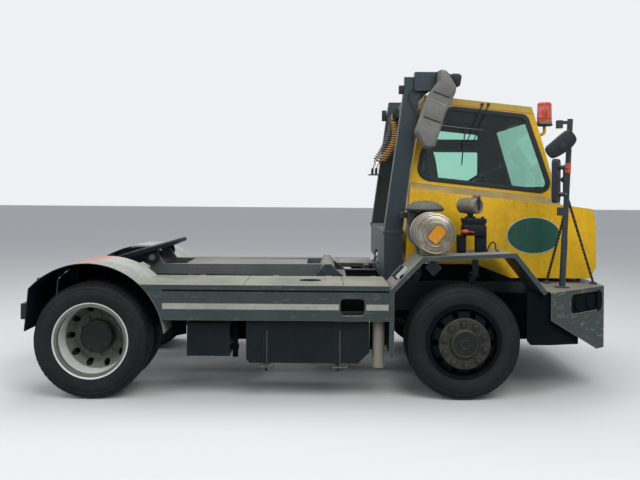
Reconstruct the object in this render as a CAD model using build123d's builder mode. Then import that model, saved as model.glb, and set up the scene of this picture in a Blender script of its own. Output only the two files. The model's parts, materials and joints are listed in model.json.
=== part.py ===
from build123d import *
import math
import os

os.makedirs("parts", exist_ok=True)

# Terminal tractor, in millimetres: +X forward, +Y to its left, +Z up.
# The origin is on the ground, under the middle of the vehicle's box.

# Whole vehicle
HALF_WIDTH = 1250.0
WHEELBASE = 3000.0
REAR_AXLE_X = -1795.0
FRONT_AXLE_X = REAR_AXLE_X + WHEELBASE
FRAME_REAR_X = -2495.0
BUMPER_FRONT_X = 2495.0
RIGHT = -1
LEFT = 1

# Wheels and tyres
TYRE_RADIUS = 467.0
TREAD_HALF_WIDTH = 116.0
TYRE_HALF_WIDTH = 148.0
BEAD_RADIUS = 286.0
FLANGE_RADIUS = 298.0
RIM_HALF_WIDTH = 118.0
RIM_WALL = 14.0
RIM_GAP = 0.3
DISC_OFFSET = 168.0
DISC_WALL = 13.0
BOLT_CIRCLE_RADIUS = 167.5
HUB_BORE_RADIUS = 140.5
HAND_HOLE_RADIUS = 27.0
HAND_HOLE_CIRCLE = 232.0
WHEEL_NUTS = 10
NUT_RADIUS = 17.0
NUT_HEIGHT = 26.0
HUB_CAP_RADIUS = 127.0
DRUM_RADIUS = 205.0
WHEEL_Z = TYRE_RADIUS
REAR_OUTER_Y = 1090.0
DUAL_SPACING = 340.0
FRONT_TRACK_Y = 1050.0
SPINDLE_RADIUS = 45.0
RUNNING_GAP = 0.3

# Chassis rails
RAIL_INNER_Y = 430.0
RAIL_OUTER_Y = 505.0
RAIL_TOP_Z = 880.0
RAIL_BOTTOM_Z = 620.0
RAIL_WALL = 12.0
RAIL_FRONT_X = 2300.0

# Side decks
DECK_TOP_Z = 929.0
DECK_SHEET = 8.0
DECK_FRONT_X = 617.0
DECK_REAR_X = -1381.0
DECK_INNER_Y = 600.0
DECK_END_X = DECK_FRONT_X - 19.0
DECK_FOLD = 40.0
BEAM_BOTTOM_Z = 644.0
BEAM_DEPTH_Y = 50.0
STEP_FROM_X = 207.0
STEP_TO_X = 399.0
STEP_FROM_Z = 688.0
STEP_TO_Z = 823.0
STEP_CORNER = 30.0

# Rear fenders
FENDER_RADIUS = 623.0
FENDER_SHEET = 8.0
FENDER_CENTRE_X = REAR_AXLE_X - 25.0
FENDER_CENTRE_Z = 470.0
FENDER_FRONT_ANGLE = 6.0
FENDER_REAR_ANGLE = 138.0
FENDER_TAIL_X = -2310.0
FENDER_TAIL_Z = 546.0

# Front fenders, points in X and Z along the bent sheet
FRONT_FENDER_INNER_Y = 640.0
FRONT_FENDER_SHEET = 10.0
FENDER_BAR_DEPTH = 36.0
RIGHT_FENDER_LINE = [(617, 355), (617, 883), (868, 1145), (1598, 1182), (1842, 877)]
LEFT_FENDER_LINE = [(617, 355), (617, 860), (745, 985), (1440, 985), (1722, 868), (1842, 868)]

# Bumper
BUMPER_REAR_X = 1885.0
BUMPER_CORNER_Y = 747.0
BUMPER_TOP_Z = 884.0
BUMPER_REAR_BOTTOM_Z = 664.0
BUMPER_BOTTOM_Z = 353.0
BUMPER_PLATE = 12.0
LAMP_HOLE_FROM = 0.36
LAMP_HOLE_LENGTH = 440.0
LAMP_HOLE_HEIGHT = 161.0
LAMP_HOLE_Z = 766.0

# Cab, outlines in X and Z
CAB_RIGHT_Y = -560.0
CAB_LEFT_Y = 1170.0
CAB_WALL = 45.0
SHOULDER_IN = 69.0
SHOULDER_DROP = 62.0
BELT_REAR = (838, 1768)
BELT_FRONT = (2180, 1632)
ROOF_REAR = (971, 2551)
ROOF_FRONT = (1934, 2450)
ROOF_THICK = 62.0
CAB_FLOOR_Z = 1040.0
CAB_REAR_X = 800.0
TILT_X = 2400.0
TILT_Z = 908.0
TILT_PIN_RADIUS = 12.0
TILT_EAR_RADIUS = 9.5
TILT_LUG_Y = [-380.0, 380.0]
REST_X = 870.0
FLOOR_STEP = (1427, 1735)
NOSE_BOTTOM_Z = 921.0
NOSE_BACK_X = 2184.0
NOSE_LINE = [(2438, 921), (2494, 1019), (2494, 1373), (2463, 1538), (2186, 1574)]
PANEL_GAP = 1.0
GLASS_THICK = 8.0
GLASS_GAP = 0.3
WINDOW_CORNER = 55.0
SIDE_WINDOW = [(925, 1862), (978, 1802), (2040, 1695), (2089, 1756), (1876, 2362), (1203, 2432),
               (958, 2050)]
DOOR_LINE = [(1090, 1100), (1850, 1100), (1850, 2368), (1150, 2441), (1090, 1768)]
DOOR_WINDOWS = [[(1170, 1820), (1795, 1757), (1795, 2131), (1200, 2131)],
                [(1212, 2245), (1795, 2245), (1795, 2322), (1225, 2381)]]
DOOR_WINDOW_CORNER = 35.0
DOOR_GAP = 6.0
DOOR_HINGE = (1856.0, 1184.0)
HINGE_RADIUS = 11.0
HINGE_PIN_RADIUS = 5.0
HINGE_Z = [1250, 1620]
SEAT_Y = 420.0
WHEEL_CENTRE = (1690.0, 420.0, 1850.0)
COLUMN_FOOT = (1900.0, 420.0, 1500.0)
STEERING_RADIUS = 225.0

# Tower behind the cab
POST_RIGHT_Y = -505.0
POST_LEFT_Y = 1055.0
POST_WIDTH = 110.0
POST_FOOT_X = 608.0
POST_FOOT_Z = 1328.0
POST_TOP_Z = 2655.0
POST_LEAN = 7.7
POST_FOOT_DEPTH = 165.0
POST_TOP_DEPTH = 140.0

# Lift boom, its cylinders and the fifth wheel
BOOM_PIVOT_X = 113.0
BOOM_PIVOT_Z = 948.0
BOOM_REAR_X = -1551.0
BOOM_HALF_WIDTH = 330.0
BOOM_TOP_Z = 1007.0
BOOM_BOTTOM_Z = 900.0
PIVOT_PIN_RADIUS = 40.0
LIFT_EYE_X = -700.0
LIFT_EYE_Z = 915.0
LIFT_BASE_X = -620.0
LIFT_BASE_Z = 555.0
LIFT_Y = 180.0
LIFT_PIN_RADIUS = 20.0
LIFT_EYE_RADIUS = 34.0
LIFT_EYE_HALF = 40.0
BARREL_RADIUS = 50.0
BARREL_LENGTH = 320.0
PISTON_ROD_RADIUS = 28.0
PISTON_ROD_LENGTH = 303.0
PLATE_PIVOT_X = -1490.0
PLATE_PIVOT_Z = 1066.0
PLATE_TILT = 15.6
PLATE_HALF_WIDTH = 430.0
PLATE_THICK = 36.0
KINGPIN_RADIUS = 25.4
THROAT_HALF_WIDTH = 200.0

# Steering
KINGPIN_Y = 860.0
STEER_ARM = 200.0
STEER_PIN_RADIUS = 25.0
TIE_ROD_Z = 350.0
TIE_ROD_RADIUS = 22.0


def block(x, y, z, mode=Mode.ADD):
    """A box between its low and high X, Y and Z."""
    with Locations(((x[0] + x[1]) / 2, (y[0] + y[1]) / 2, (z[0] + z[1]) / 2)):
        Box(x[1] - x[0], y[1] - y[0], z[1] - z[0], mode=mode)


def span(side, inner, outer):
    """Low and high Y of a piece between two distances from the middle."""
    return (side * outer, side * inner) if side < 0 else (side * inner, side * outer)


def side_plate(points, y, mode=Mode.ADD):
    """A plate with an outline in X and Z, from y[0] to y[1]."""
    with BuildSketch(Plane.XZ.offset(-y[1])) as outline:
        with BuildLine():
            Polyline(*points, close=True)
        make_face()
    extrude(outline.sketch, amount=y[1] - y[0], mode=mode)


def plan_plate(points, z, mode=Mode.ADD):
    """A plate with an outline in X and Y, from z[0] to z[1]."""
    with BuildSketch(Plane.XY.offset(z[0])) as outline:
        with BuildLine():
            Polyline(*points, close=True)
        make_face()
    extrude(outline.sketch, amount=z[1] - z[0], mode=mode)


def front_plate(points, x, mode=Mode.ADD):
    """A plate with an outline in Y and Z, from x[0] to x[1]."""
    with BuildSketch(Plane.YZ.offset(x[0])) as outline:
        with BuildLine():
            Polyline(*points, close=True)
        make_face()
    extrude(outline.sketch, amount=x[1] - x[0], mode=mode)


def bent_sheet(points, thickness, y, mode=Mode.ADD):
    """A sheet of one thickness, bent along points in X and Z."""
    with BuildSketch(Plane.XZ.offset(-y[1])) as outline:
        with BuildLine() as fold:
            Polyline(*points)
        trace(fold.line, line_width=thickness)
    extrude(outline.sketch, amount=y[1] - y[0], mode=mode)


def rod(start, end, radius, mode=Mode.ADD):
    """A round bar between two points."""
    run = Vector(*end) - Vector(*start)
    with BuildSketch(Plane(origin=start, z_dir=run)) as section:
        Circle(radius)
    extrude(section.sketch, amount=run.length, mode=mode)


def turned(points, centre, direction, mode=Mode.ADD):
    """A turned piece: points are (distance along the axis, radius)."""
    across = Vector(0, 0, 1) if abs(direction[2]) < 0.9 else Vector(1, 0, 0)
    normal = Vector(*direction).cross(across)
    with BuildSketch(Plane(origin=centre, x_dir=direction, z_dir=normal)) as section:
        with BuildLine():
            Polyline(*points, close=True)
        make_face()
    revolve(section.sketch, axis=Axis(centre, direction), mode=mode)


def keep(name, label):
    """Name the piece and write it."""
    name.part.label = label
    export_step(name.part, "parts/" + label + ".step")


# Chassis frame: two channel rails with cross members, hangers and pivot ears
CROSS_MEMBERS = [  # middle X, half length, low Z, high Z
    (-2440, 20, 640, 870),
    (-1180, 40, 740, 870),
    (250, 40, 800, 880),
    (730, 50, 700, 880),
    (1800, 40, 640, 760),
]
HANGER_X = [FRONT_AXLE_X - 560, FRONT_AXLE_X + 560]
SPRING_END_Z = 545.0
ARM_X = [900, 1400]
ARM_TOP_Z = 965.0
EAR_GAP = 1.0

with BuildPart() as chassis_frame:
    for side in (RIGHT, LEFT):
        block((FRAME_REAR_X, RAIL_FRONT_X), span(side, RAIL_INNER_Y, RAIL_OUTER_Y),
              (RAIL_BOTTOM_Z, RAIL_TOP_Z))
        block((FRAME_REAR_X - 1, RAIL_FRONT_X + 1),
              span(side, RAIL_INNER_Y - 1, RAIL_OUTER_Y - RAIL_WALL),
              (RAIL_BOTTOM_Z + RAIL_WALL, RAIL_TOP_Z - RAIL_WALL), mode=Mode.SUBTRACT)
    for middle, half, low, high in CROSS_MEMBERS:
        block((middle - half, middle + half), (-RAIL_OUTER_Y + 1, RAIL_OUTER_Y - 1), (low, high))
    # Rear plate with the towing jaw
    block((FRAME_REAR_X, FRAME_REAR_X + 14), (-RAIL_OUTER_Y, RAIL_OUTER_Y),
          (RAIL_BOTTOM_Z, RAIL_TOP_Z))
    for side in (RIGHT, LEFT):
        # Spring hangers under each rail
        for hanger in HANGER_X:
            side_plate([(hanger - 60, RAIL_BOTTOM_Z + 1), (hanger - 25, SPRING_END_Z - 30),
                        (hanger + 25, SPRING_END_Z - 30), (hanger + 60, RAIL_BOTTOM_Z + 1)],
                       span(side, RAIL_OUTER_Y - 12, RAIL_OUTER_Y))
        # Blocks that carry the rear axle
        block((REAR_AXLE_X - 90, REAR_AXLE_X + 90), span(side, RAIL_INNER_Y, RAIL_OUTER_Y),
              (WHEEL_Z + 75, RAIL_BOTTOM_Z + 1))
        # Ears of the boom pivot
        side_plate([(BOOM_PIVOT_X - 150, RAIL_TOP_Z - 1), (BOOM_PIVOT_X - 62, BOOM_PIVOT_Z + 30),
                    (BOOM_PIVOT_X - 30, BOOM_PIVOT_Z + 72), (BOOM_PIVOT_X + 30, BOOM_PIVOT_Z + 72),
                    (BOOM_PIVOT_X + 62, BOOM_PIVOT_Z + 30), (BOOM_PIVOT_X + 190, RAIL_TOP_Z - 1)],
                   span(side, RAIL_INNER_Y, RAIL_INNER_Y + 30))
        # Arms that carry the front fenders
        for arm in ARM_X:
            block((arm - 30, arm + 30), span(side, RAIL_OUTER_Y - 40, RAIL_OUTER_Y + 40),
                  (RAIL_TOP_Z - 1, ARM_TOP_Z - 20))
            block((arm - 30, arm + 30), span(side, RAIL_OUTER_Y - 40, FRONT_FENDER_INNER_Y + 30),
                  (ARM_TOP_Z - 23, ARM_TOP_Z))
    rod((BOOM_PIVOT_X, -RAIL_INNER_Y - 30, BOOM_PIVOT_Z),
        (BOOM_PIVOT_X, RAIL_INNER_Y + 30, BOOM_PIVOT_Z), PIVOT_PIN_RADIUS)
    # Bumper carriers
    for side in (RIGHT, LEFT):
        block((RAIL_FRONT_X - 40, RAIL_FRONT_X), span(side, RAIL_INNER_Y, RAIL_OUTER_Y),
              (RAIL_BOTTOM_Z, RAIL_TOP_Z))
        block((RAIL_FRONT_X - 20, BUMPER_FRONT_X - BUMPER_PLATE - 14),
              span(side, RAIL_INNER_Y, RAIL_OUTER_Y), (RAIL_BOTTOM_Z + 20, RAIL_TOP_Z - 20))
        # Rubber-topped rest under the cab's rear
        block((REST_X - 35, REST_X + 35), span(side, RAIL_INNER_Y + 5, RAIL_OUTER_Y - 5),
              (RAIL_TOP_Z - 1, CAB_FLOOR_Z - RUNNING_GAP))
    # Hung feet of the lift cylinders, each a plate with two lugs and a pin
    for side in (RIGHT, LEFT):
        block((LIFT_BASE_X - 80, LIFT_BASE_X + 80), span(side, RAIL_INNER_Y, RAIL_INNER_Y + 16),
              (LIFT_BASE_Z - 55, RAIL_BOTTOM_Z + 1))
        block((LIFT_BASE_X - 80, LIFT_BASE_X + 80), span(side, LIFT_Y - 65, RAIL_INNER_Y + 16),
              (LIFT_BASE_Z - 55, LIFT_BASE_Z - 40))
        for lug in (LIFT_Y - 60, LIFT_Y + LIFT_EYE_HALF + 5):
            block((LIFT_BASE_X - 30, LIFT_BASE_X + 30), span(side, lug, lug + 15),
                  (LIFT_BASE_Z - 41, LIFT_BASE_Z + 30))
        rod((LIFT_BASE_X, side * (LIFT_Y - 60), LIFT_BASE_Z),
            (LIFT_BASE_X, side * (LIFT_Y + 60), LIFT_BASE_Z), LIFT_PIN_RADIUS)
keep(chassis_frame, "chassis_frame")


def side_deck(side):
    """Tread deck with its folded edge, side beam with the step hole, and brackets."""
    with BuildPart() as deck:
        block((DECK_REAR_X - 120, DECK_END_X), span(side, DECK_INNER_Y, HALF_WIDTH),
              (DECK_TOP_Z - DECK_SHEET, DECK_TOP_Z))
        block((DECK_REAR_X - 120, DECK_END_X), span(side, HALF_WIDTH - DECK_SHEET, HALF_WIDTH),
              (DECK_TOP_Z - DECK_FOLD, DECK_TOP_Z))
        block((DECK_REAR_X - 120, DECK_END_X), span(side, HALF_WIDTH - 6 - BEAM_DEPTH_Y, HALF_WIDTH - 6),
              (BEAM_BOTTOM_Z, DECK_TOP_Z - DECK_SHEET + 1))
        block((DECK_REAR_X - 120, DECK_END_X), span(side, DECK_INNER_Y, DECK_INNER_Y + DECK_SHEET),
              (DECK_TOP_Z - DECK_FOLD, DECK_TOP_Z))
        for bracket in (-1000, -350, 120, 520):
            side_plate([(bracket - 25, RAIL_TOP_Z - 130), (bracket - 25, DECK_TOP_Z - DECK_SHEET + 1),
                        (bracket + 25, DECK_TOP_Z - DECK_SHEET + 1), (bracket + 25, RAIL_TOP_Z - 130)],
                       span(side, RAIL_OUTER_Y, HALF_WIDTH - 6 - BEAM_DEPTH_Y + 1))
        # Step hole through the beam
        with BuildSketch(Plane.XZ) as hole:
            with Locations(((STEP_FROM_X + STEP_TO_X) / 2, (STEP_FROM_Z + STEP_TO_Z) / 2)):
                RectangleRounded(STEP_TO_X - STEP_FROM_X, STEP_TO_Z - STEP_FROM_Z, STEP_CORNER)
        extrude(hole.sketch, amount=-side * (HALF_WIDTH + 10), mode=Mode.SUBTRACT)
        # The rear end follows the fender
        rod((FENDER_CENTRE_X, side * (RAIL_OUTER_Y - 10), FENDER_CENTRE_Z),
            (FENDER_CENTRE_X, side * (HALF_WIDTH + 10), FENDER_CENTRE_Z),
            FENDER_RADIUS + 1, mode=Mode.SUBTRACT)
    return deck


def rear_fender(side):
    """Half-round sheet over the twin wheels, with a straight tail and two stays."""
    back = math.radians(FENDER_REAR_ANGLE)
    reach = FENDER_RADIUS - FENDER_SHEET / 2
    tail_top = (FENDER_CENTRE_X + reach * math.cos(back), FENDER_CENTRE_Z + reach * math.sin(back))
    low_y, high_y = span(side, DECK_INNER_Y, HALF_WIDTH)
    with BuildPart() as fender:
        for stay in (FENDER_CENTRE_X - 300, FENDER_CENTRE_X + 300):
            block((stay - 35, stay + 35), span(side, RAIL_OUTER_Y - 40, DECK_INNER_Y + 30),
                  (RAIL_TOP_Z, RAIL_TOP_Z + 250))
        with Locations(Location((FENDER_CENTRE_X, side * HALF_WIDTH / 2, FENDER_CENTRE_Z), (90, 0, 0))):
            Cylinder(FENDER_RADIUS - 2, 2 * HALF_WIDTH, mode=Mode.INTERSECT)
        with BuildSketch(Plane.XZ.offset(-high_y)) as section:
            with BuildLine() as fold:
                CenterArc((FENDER_CENTRE_X, FENDER_CENTRE_Z), reach, FENDER_FRONT_ANGLE,
                          FENDER_REAR_ANGLE - FENDER_FRONT_ANGLE)
                Line(tail_top, (FENDER_TAIL_X, FENDER_TAIL_Z))
            trace(fold.line, line_width=FENDER_SHEET)
        extrude(section.sketch, amount=high_y - low_y)
    return fender


def tail_x(z):
    """X just behind a rear fender's tail at height z."""
    back = math.radians(FENDER_REAR_ANGLE)
    top_x = FENDER_CENTRE_X + (FENDER_RADIUS - FENDER_SHEET / 2) * math.cos(back)
    top_z = FENDER_CENTRE_Z + (FENDER_RADIUS - FENDER_SHEET / 2) * math.sin(back)
    share = (z - FENDER_TAIL_Z) / (top_z - FENDER_TAIL_Z)
    return FENDER_TAIL_X + (top_x - FENDER_TAIL_X) * share - FENDER_SHEET / 2 - RUNNING_GAP


def height_on(line, x):
    """Height of a bent line at x."""
    for (x0, z0), (x1, z1) in zip(line, line[1:]):
        if x0 <= x <= x1 and x1 > x0:
            return z0 + (z1 - z0) * (x - x0) / (x1 - x0)
    return line[-1][1]


def front_fender(side, line):
    """Bent tread sheet with a bar along its outer edge and an upright at each arm."""
    with BuildPart() as fender:
        bent_sheet(line, FRONT_FENDER_SHEET, span(side, FRONT_FENDER_INNER_Y, HALF_WIDTH))
        bent_sheet(line, FENDER_BAR_DEPTH, span(side, HALF_WIDTH - 35, HALF_WIDTH))
        for arm in ARM_X:
            side_plate([(arm - 25, ARM_TOP_Z), (arm - 25, height_on(line, arm - 25)),
                        (arm + 25, height_on(line, arm + 25)), (arm + 25, ARM_TOP_Z)],
                       span(side, FRONT_FENDER_INNER_Y + 1, FRONT_FENDER_INNER_Y + 28))
    return fender


for side, label in ((RIGHT, "right"), (LEFT, "left")):
    keep(side_deck(side), "side_deck_" + label)
    keep(rear_fender(side), "rear_fender_" + label)
keep(front_fender(RIGHT, RIGHT_FENDER_LINE), "front_fender_right")
keep(front_fender(LEFT, LEFT_FENDER_LINE), "front_fender_left")


# Bumper: front plate, two slanted corner plates and a flat top
corner_run = Vector(BUMPER_FRONT_X - BUMPER_REAR_X, HALF_WIDTH - BUMPER_CORNER_Y, 0)
corner_way = corner_run.normalized()
corner_thick = (BUMPER_PLATE + 6) * corner_way.X


def corner_plane(side):
    """Plane of a corner plate's outer face, at the middle of its lamp hole."""
    along = LAMP_HOLE_FROM * corner_run.length + LAMP_HOLE_LENGTH / 2
    x = BUMPER_REAR_X + corner_way.X * along
    y = side * (HALF_WIDTH - corner_way.Y * along)
    return Plane(origin=(x, y, LAMP_HOLE_Z), x_dir=(-side * corner_way.X, corner_way.Y, 0),
                 z_dir=(corner_way.Y, side * corner_way.X, 0))


with BuildPart() as front_bumper:
    block((BUMPER_FRONT_X - BUMPER_PLATE, BUMPER_FRONT_X), (-BUMPER_CORNER_Y, BUMPER_CORNER_Y),
          (BUMPER_BOTTOM_Z, BUMPER_TOP_Z))
    for side in (RIGHT, LEFT):
        plan_plate([(BUMPER_REAR_X, side * HALF_WIDTH), (BUMPER_FRONT_X, side * BUMPER_CORNER_Y),
                    (BUMPER_FRONT_X - BUMPER_PLATE, side * (BUMPER_CORNER_Y - 6)),
                    (BUMPER_REAR_X, side * (HALF_WIDTH - BUMPER_PLATE - 6))],
                   (BUMPER_BOTTOM_Z, BUMPER_TOP_Z))
    side_plate([(BUMPER_REAR_X - 50, BUMPER_BOTTOM_Z - 50), (BUMPER_REAR_X - 50, BUMPER_REAR_BOTTOM_Z),
                (BUMPER_REAR_X, BUMPER_REAR_BOTTOM_Z), (BUMPER_FRONT_X - 90, BUMPER_BOTTOM_Z),
                (BUMPER_FRONT_X - 90, BUMPER_BOTTOM_Z - 50)], (-HALF_WIDTH - 1, HALF_WIDTH + 1),
               mode=Mode.SUBTRACT)
    plan_plate([(BUMPER_REAR_X, -HALF_WIDTH + 6), (BUMPER_FRONT_X - 6, -BUMPER_CORNER_Y),
                (BUMPER_FRONT_X - 6, BUMPER_CORNER_Y), (BUMPER_REAR_X, HALF_WIDTH - 6)],
               (RAIL_TOP_Z, BUMPER_TOP_Z))
    for side in (RIGHT, LEFT):
        # Lugs and pin of the cab's hinge
        for lug in TILT_LUG_Y:
            for low_y, high_y in ((lug - 26, lug - 14), (lug + 14, lug + 26)):
                block((TILT_X - TILT_EAR_RADIUS, TILT_X + TILT_EAR_RADIUS), (low_y, high_y),
                      (BUMPER_TOP_Z - 1, TILT_Z))
                rod((TILT_X, low_y, TILT_Z), (TILT_X, high_y, TILT_Z), TILT_EAR_RADIUS)
            rod((TILT_X, lug - 26, TILT_Z), (TILT_X, lug + 26, TILT_Z), TILT_PIN_RADIUS - 4)
        with BuildSketch(corner_plane(side)) as hole:
            RectangleRounded(LAMP_HOLE_LENGTH, LAMP_HOLE_HEIGHT, 50)
        extrude(hole.sketch, amount=-60, mode=Mode.SUBTRACT)
        block((RAIL_FRONT_X + 60, BUMPER_FRONT_X - 6), span(side, RAIL_INNER_Y - 20, RAIL_INNER_Y),
              (RAIL_BOTTOM_Z + 20, RAIL_TOP_Z - 20))
keep(front_bumper, "front_bumper")

# Lamps: head lamps behind the bumper holes, work lamps and rear lamps
with BuildPart() as lamps:
    for side in (RIGHT, LEFT):
        face = corner_plane(side)
        with BuildSketch(face.offset(-corner_thick - RUNNING_GAP)) as flange:
            RectangleRounded(LAMP_HOLE_LENGTH + 36, LAMP_HOLE_HEIGHT + 30, 50)
        extrude(flange.sketch, amount=-58)
        with BuildSketch(face.offset(-corner_thick - 1)) as lens:
            with Locations((-95, 0), (80, 0)):
                Circle(62)
        extrude(lens.sketch, amount=12)
        # Rear lamp bars on the fender tails
        side_plate([(FENDER_TAIL_X - 10, 650), (tail_x(650), 650), (tail_x(700), 700),
                    (FENDER_TAIL_X - 10, 700)], span(side, HALF_WIDTH - 400, HALF_WIDTH - 60))
        block((FENDER_TAIL_X - 46, FENDER_TAIL_X - 5), span(side, HALF_WIDTH - 420, HALF_WIDTH - 40),
              (FENDER_TAIL_Z + 90, FENDER_TAIL_Z + 215))
    # Slanted work lamp on the right front fender
    work_plane = Plane(origin=(700, -1160, 1010), x_dir=(0.69, 0, 0.724), z_dir=(0, -1, 0))
    with BuildSketch(work_plane) as work:
        with Locations((0, 32)):
            RectangleRounded(120, 50, 8)
    extrude(work.sketch, amount=45, both=True)
    foot_rear = height_on(RIGHT_FENDER_LINE, 688)
    foot_front = height_on(RIGHT_FENDER_LINE, 724)
    side_plate([(688, foot_rear + 8), (724, foot_front + 8), (699, 1024), (687, 1012)], (-1180, -1140))
keep(lamps, "lamps")


# Wheels
def rim_points(flip):
    """Section of a rim barrel with its disc on the inboard side, or outboard if flipped."""
    way = -flip
    half, wall, inner = RIM_HALF_WIDTH, RIM_WALL, BEAD_RADIUS - RIM_GAP - RIM_WALL
    outer = BEAD_RADIUS - RIM_GAP
    barrel = [(-half - 8, FLANGE_RADIUS), (-half, FLANGE_RADIUS), (-half, outer), (half, outer),
              (half, FLANGE_RADIUS), (half + 8, FLANGE_RADIUS), (half + 8, inner), (-half - 8, inner)]
    disc = [(way * 52, inner + 2), (way * 150, 203), (way * (DISC_OFFSET - DISC_WALL), 190),
            (way * (DISC_OFFSET - DISC_WALL), HUB_BORE_RADIUS), (way * DISC_OFFSET, HUB_BORE_RADIUS),
            (way * DISC_OFFSET, 196), (way * 162, 209), (way * 72, inner + 2)]
    return barrel, disc


TYRE_SECTION = [(-104, BEAD_RADIUS), (-117, BEAD_RADIUS + 16), (-136, 330), (-TYRE_HALF_WIDTH, 376),
                (-142, 425), (-TREAD_HALF_WIDTH, TYRE_RADIUS), (TREAD_HALF_WIDTH, TYRE_RADIUS),
                (142, 425), (TYRE_HALF_WIDTH, 376), (136, 330), (117, BEAD_RADIUS + 16),
                (104, BEAD_RADIUS)]


def tyres(axle_x, middles, side):
    """One or two tyres on an axle end."""
    with BuildPart() as tyre:
        for middle in middles:
            turned(TYRE_SECTION, (axle_x, side * middle, WHEEL_Z), (0, side, 0))
    return tyre


def hand_holes(axle_x, side, plane_y, depth):
    """Round hand holes through a disc."""
    with BuildSketch(Plane(origin=(axle_x, side * plane_y, WHEEL_Z), x_dir=(1, 0, 0),
                           z_dir=(0, side, 0))) as holes:
        with PolarLocations(HAND_HOLE_CIRCLE, WHEEL_NUTS):
            Circle(HAND_HOLE_RADIUS)
    extrude(holes.sketch, amount=depth, mode=Mode.SUBTRACT)


def nuts(axle_x, side, plane_y):
    """Ring of wheel nuts standing outwards."""
    with BuildSketch(Plane(origin=(axle_x, side * plane_y, WHEEL_Z), x_dir=(1, 0, 0),
                           z_dir=(0, side, 0))) as ring:
        with PolarLocations(BOLT_CIRCLE_RADIUS, WHEEL_NUTS, start_angle=18):
            RegularPolygon(NUT_RADIUS, 6)
    extrude(ring.sketch, amount=NUT_HEIGHT)


def rear_rims(side):
    """Two rims back to back on a hub with its drum and cap."""
    mount_y = REAR_OUTER_Y - DISC_OFFSET
    with BuildPart() as rim:
        for middle, flip in ((REAR_OUTER_Y, 1), (REAR_OUTER_Y - DUAL_SPACING, -1)):
            for points in rim_points(flip):
                turned(points, (REAR_AXLE_X, side * middle, WHEEL_Z), (0, side, 0))
        hand_holes(REAR_AXLE_X, side, mount_y - 110, 220)
        nuts(REAR_AXLE_X, side, mount_y + DISC_WALL - 1)
        # Hub with cap, drum and blind bore for the spindle
        turned([(-245, SPINDLE_RADIUS + RUNNING_GAP), (-245, 110), (-230, 120), (-120, 125), (-20, 190),
                (-5, 190), (-5, HUB_BORE_RADIUS + 1), (25, HUB_BORE_RADIUS - 3), (38, HUB_CAP_RADIUS + 3),
                (40, HUB_CAP_RADIUS), (118, HUB_CAP_RADIUS), (126, HUB_CAP_RADIUS - 10), (126, 0),
                (20, 0), (20, SPINDLE_RADIUS + RUNNING_GAP)],
               (REAR_AXLE_X, side * mount_y, WHEEL_Z), (0, side, 0))
        turned([(-250, DRUM_RADIUS), (-60, DRUM_RADIUS), (-45, 190), (-20, 189), (-20, 130),
                (-60, 180), (-250, 185)], (REAR_AXLE_X, side * mount_y, WHEEL_Z), (0, side, 0))
    return rim


def front_rim(side):
    """Rim with its disc bulging outwards, on a hub with cap and drum."""
    mount_y = FRONT_TRACK_Y + DISC_OFFSET - DISC_WALL - 5
    with BuildPart() as rim:
        for points in rim_points(-1):
            turned(points, (FRONT_AXLE_X, side * (FRONT_TRACK_Y - 5), WHEEL_Z), (0, side, 0))
        hand_holes(FRONT_AXLE_X, side, FRONT_TRACK_Y, 220)
        nuts(FRONT_AXLE_X, side, mount_y + DISC_WALL - 1)
        turned([(-272, SPINDLE_RADIUS + RUNNING_GAP), (-272, 100), (-120, 120), (-30, 150), (-20, 188),
                (-1, 188), (-1, HUB_BORE_RADIUS + 1), (14, HUB_BORE_RADIUS - 1), (14, 112), (30, 106),
                (36, 88), (36, 0), (-10, 0), (-10, SPINDLE_RADIUS + RUNNING_GAP)],
               (FRONT_AXLE_X, side * mount_y, WHEEL_Z), (0, side, 0))
        turned([(-270, DRUM_RADIUS), (-90, DRUM_RADIUS), (-60, 180), (-30, 180), (-30, 145), (-85, 175),
                (-270, 188)], (FRONT_AXLE_X, side * mount_y, WHEEL_Z), (0, side, 0))
    return rim


for side, label in ((RIGHT, "right"), (LEFT, "left")):
    keep(tyres(REAR_AXLE_X, (REAR_OUTER_Y, REAR_OUTER_Y - DUAL_SPACING), side), "rear_tyres_" + label)
    keep(rear_rims(side), "rear_rims_" + label)
    keep(tyres(FRONT_AXLE_X, (FRONT_TRACK_Y - 5,), side), "front_tyre_" + label)
    keep(front_rim(side), "front_rim_" + label)

# Rear axle: tube with the differential, spindles and brake plates
with BuildPart() as rear_axle:
    drum_back = REAR_OUTER_Y - DISC_OFFSET - 250
    rod((REAR_AXLE_X, -drum_back + 12, WHEEL_Z), (REAR_AXLE_X, drum_back - 12, WHEEL_Z), 74)
    turned([(-230, 0), (-230, 100), (-90, 210), (60, 210), (190, 110), (190, 0)],
           (REAR_AXLE_X, 0, WHEEL_Z), (0, 1, 0))
    rod((REAR_AXLE_X, 0, WHEEL_Z), (REAR_AXLE_X + 300, 0, WHEEL_Z + 14), 85)
    for side in (RIGHT, LEFT):
        rod((REAR_AXLE_X, side * (drum_back - 20), WHEEL_Z),
            (REAR_AXLE_X, side * (drum_back - 6), WHEEL_Z), 180)
        rod((REAR_AXLE_X, side * (drum_back - 90), WHEEL_Z),
            (REAR_AXLE_X, side * (drum_back + 265), WHEEL_Z), SPINDLE_RADIUS)
        # Seat under the rail block
        block((REAR_AXLE_X - 70, REAR_AXLE_X + 70), span(side, RAIL_INNER_Y, RAIL_OUTER_Y),
              (WHEEL_Z - 10, WHEEL_Z + 75))
keep(rear_axle, "rear_axle")

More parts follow.
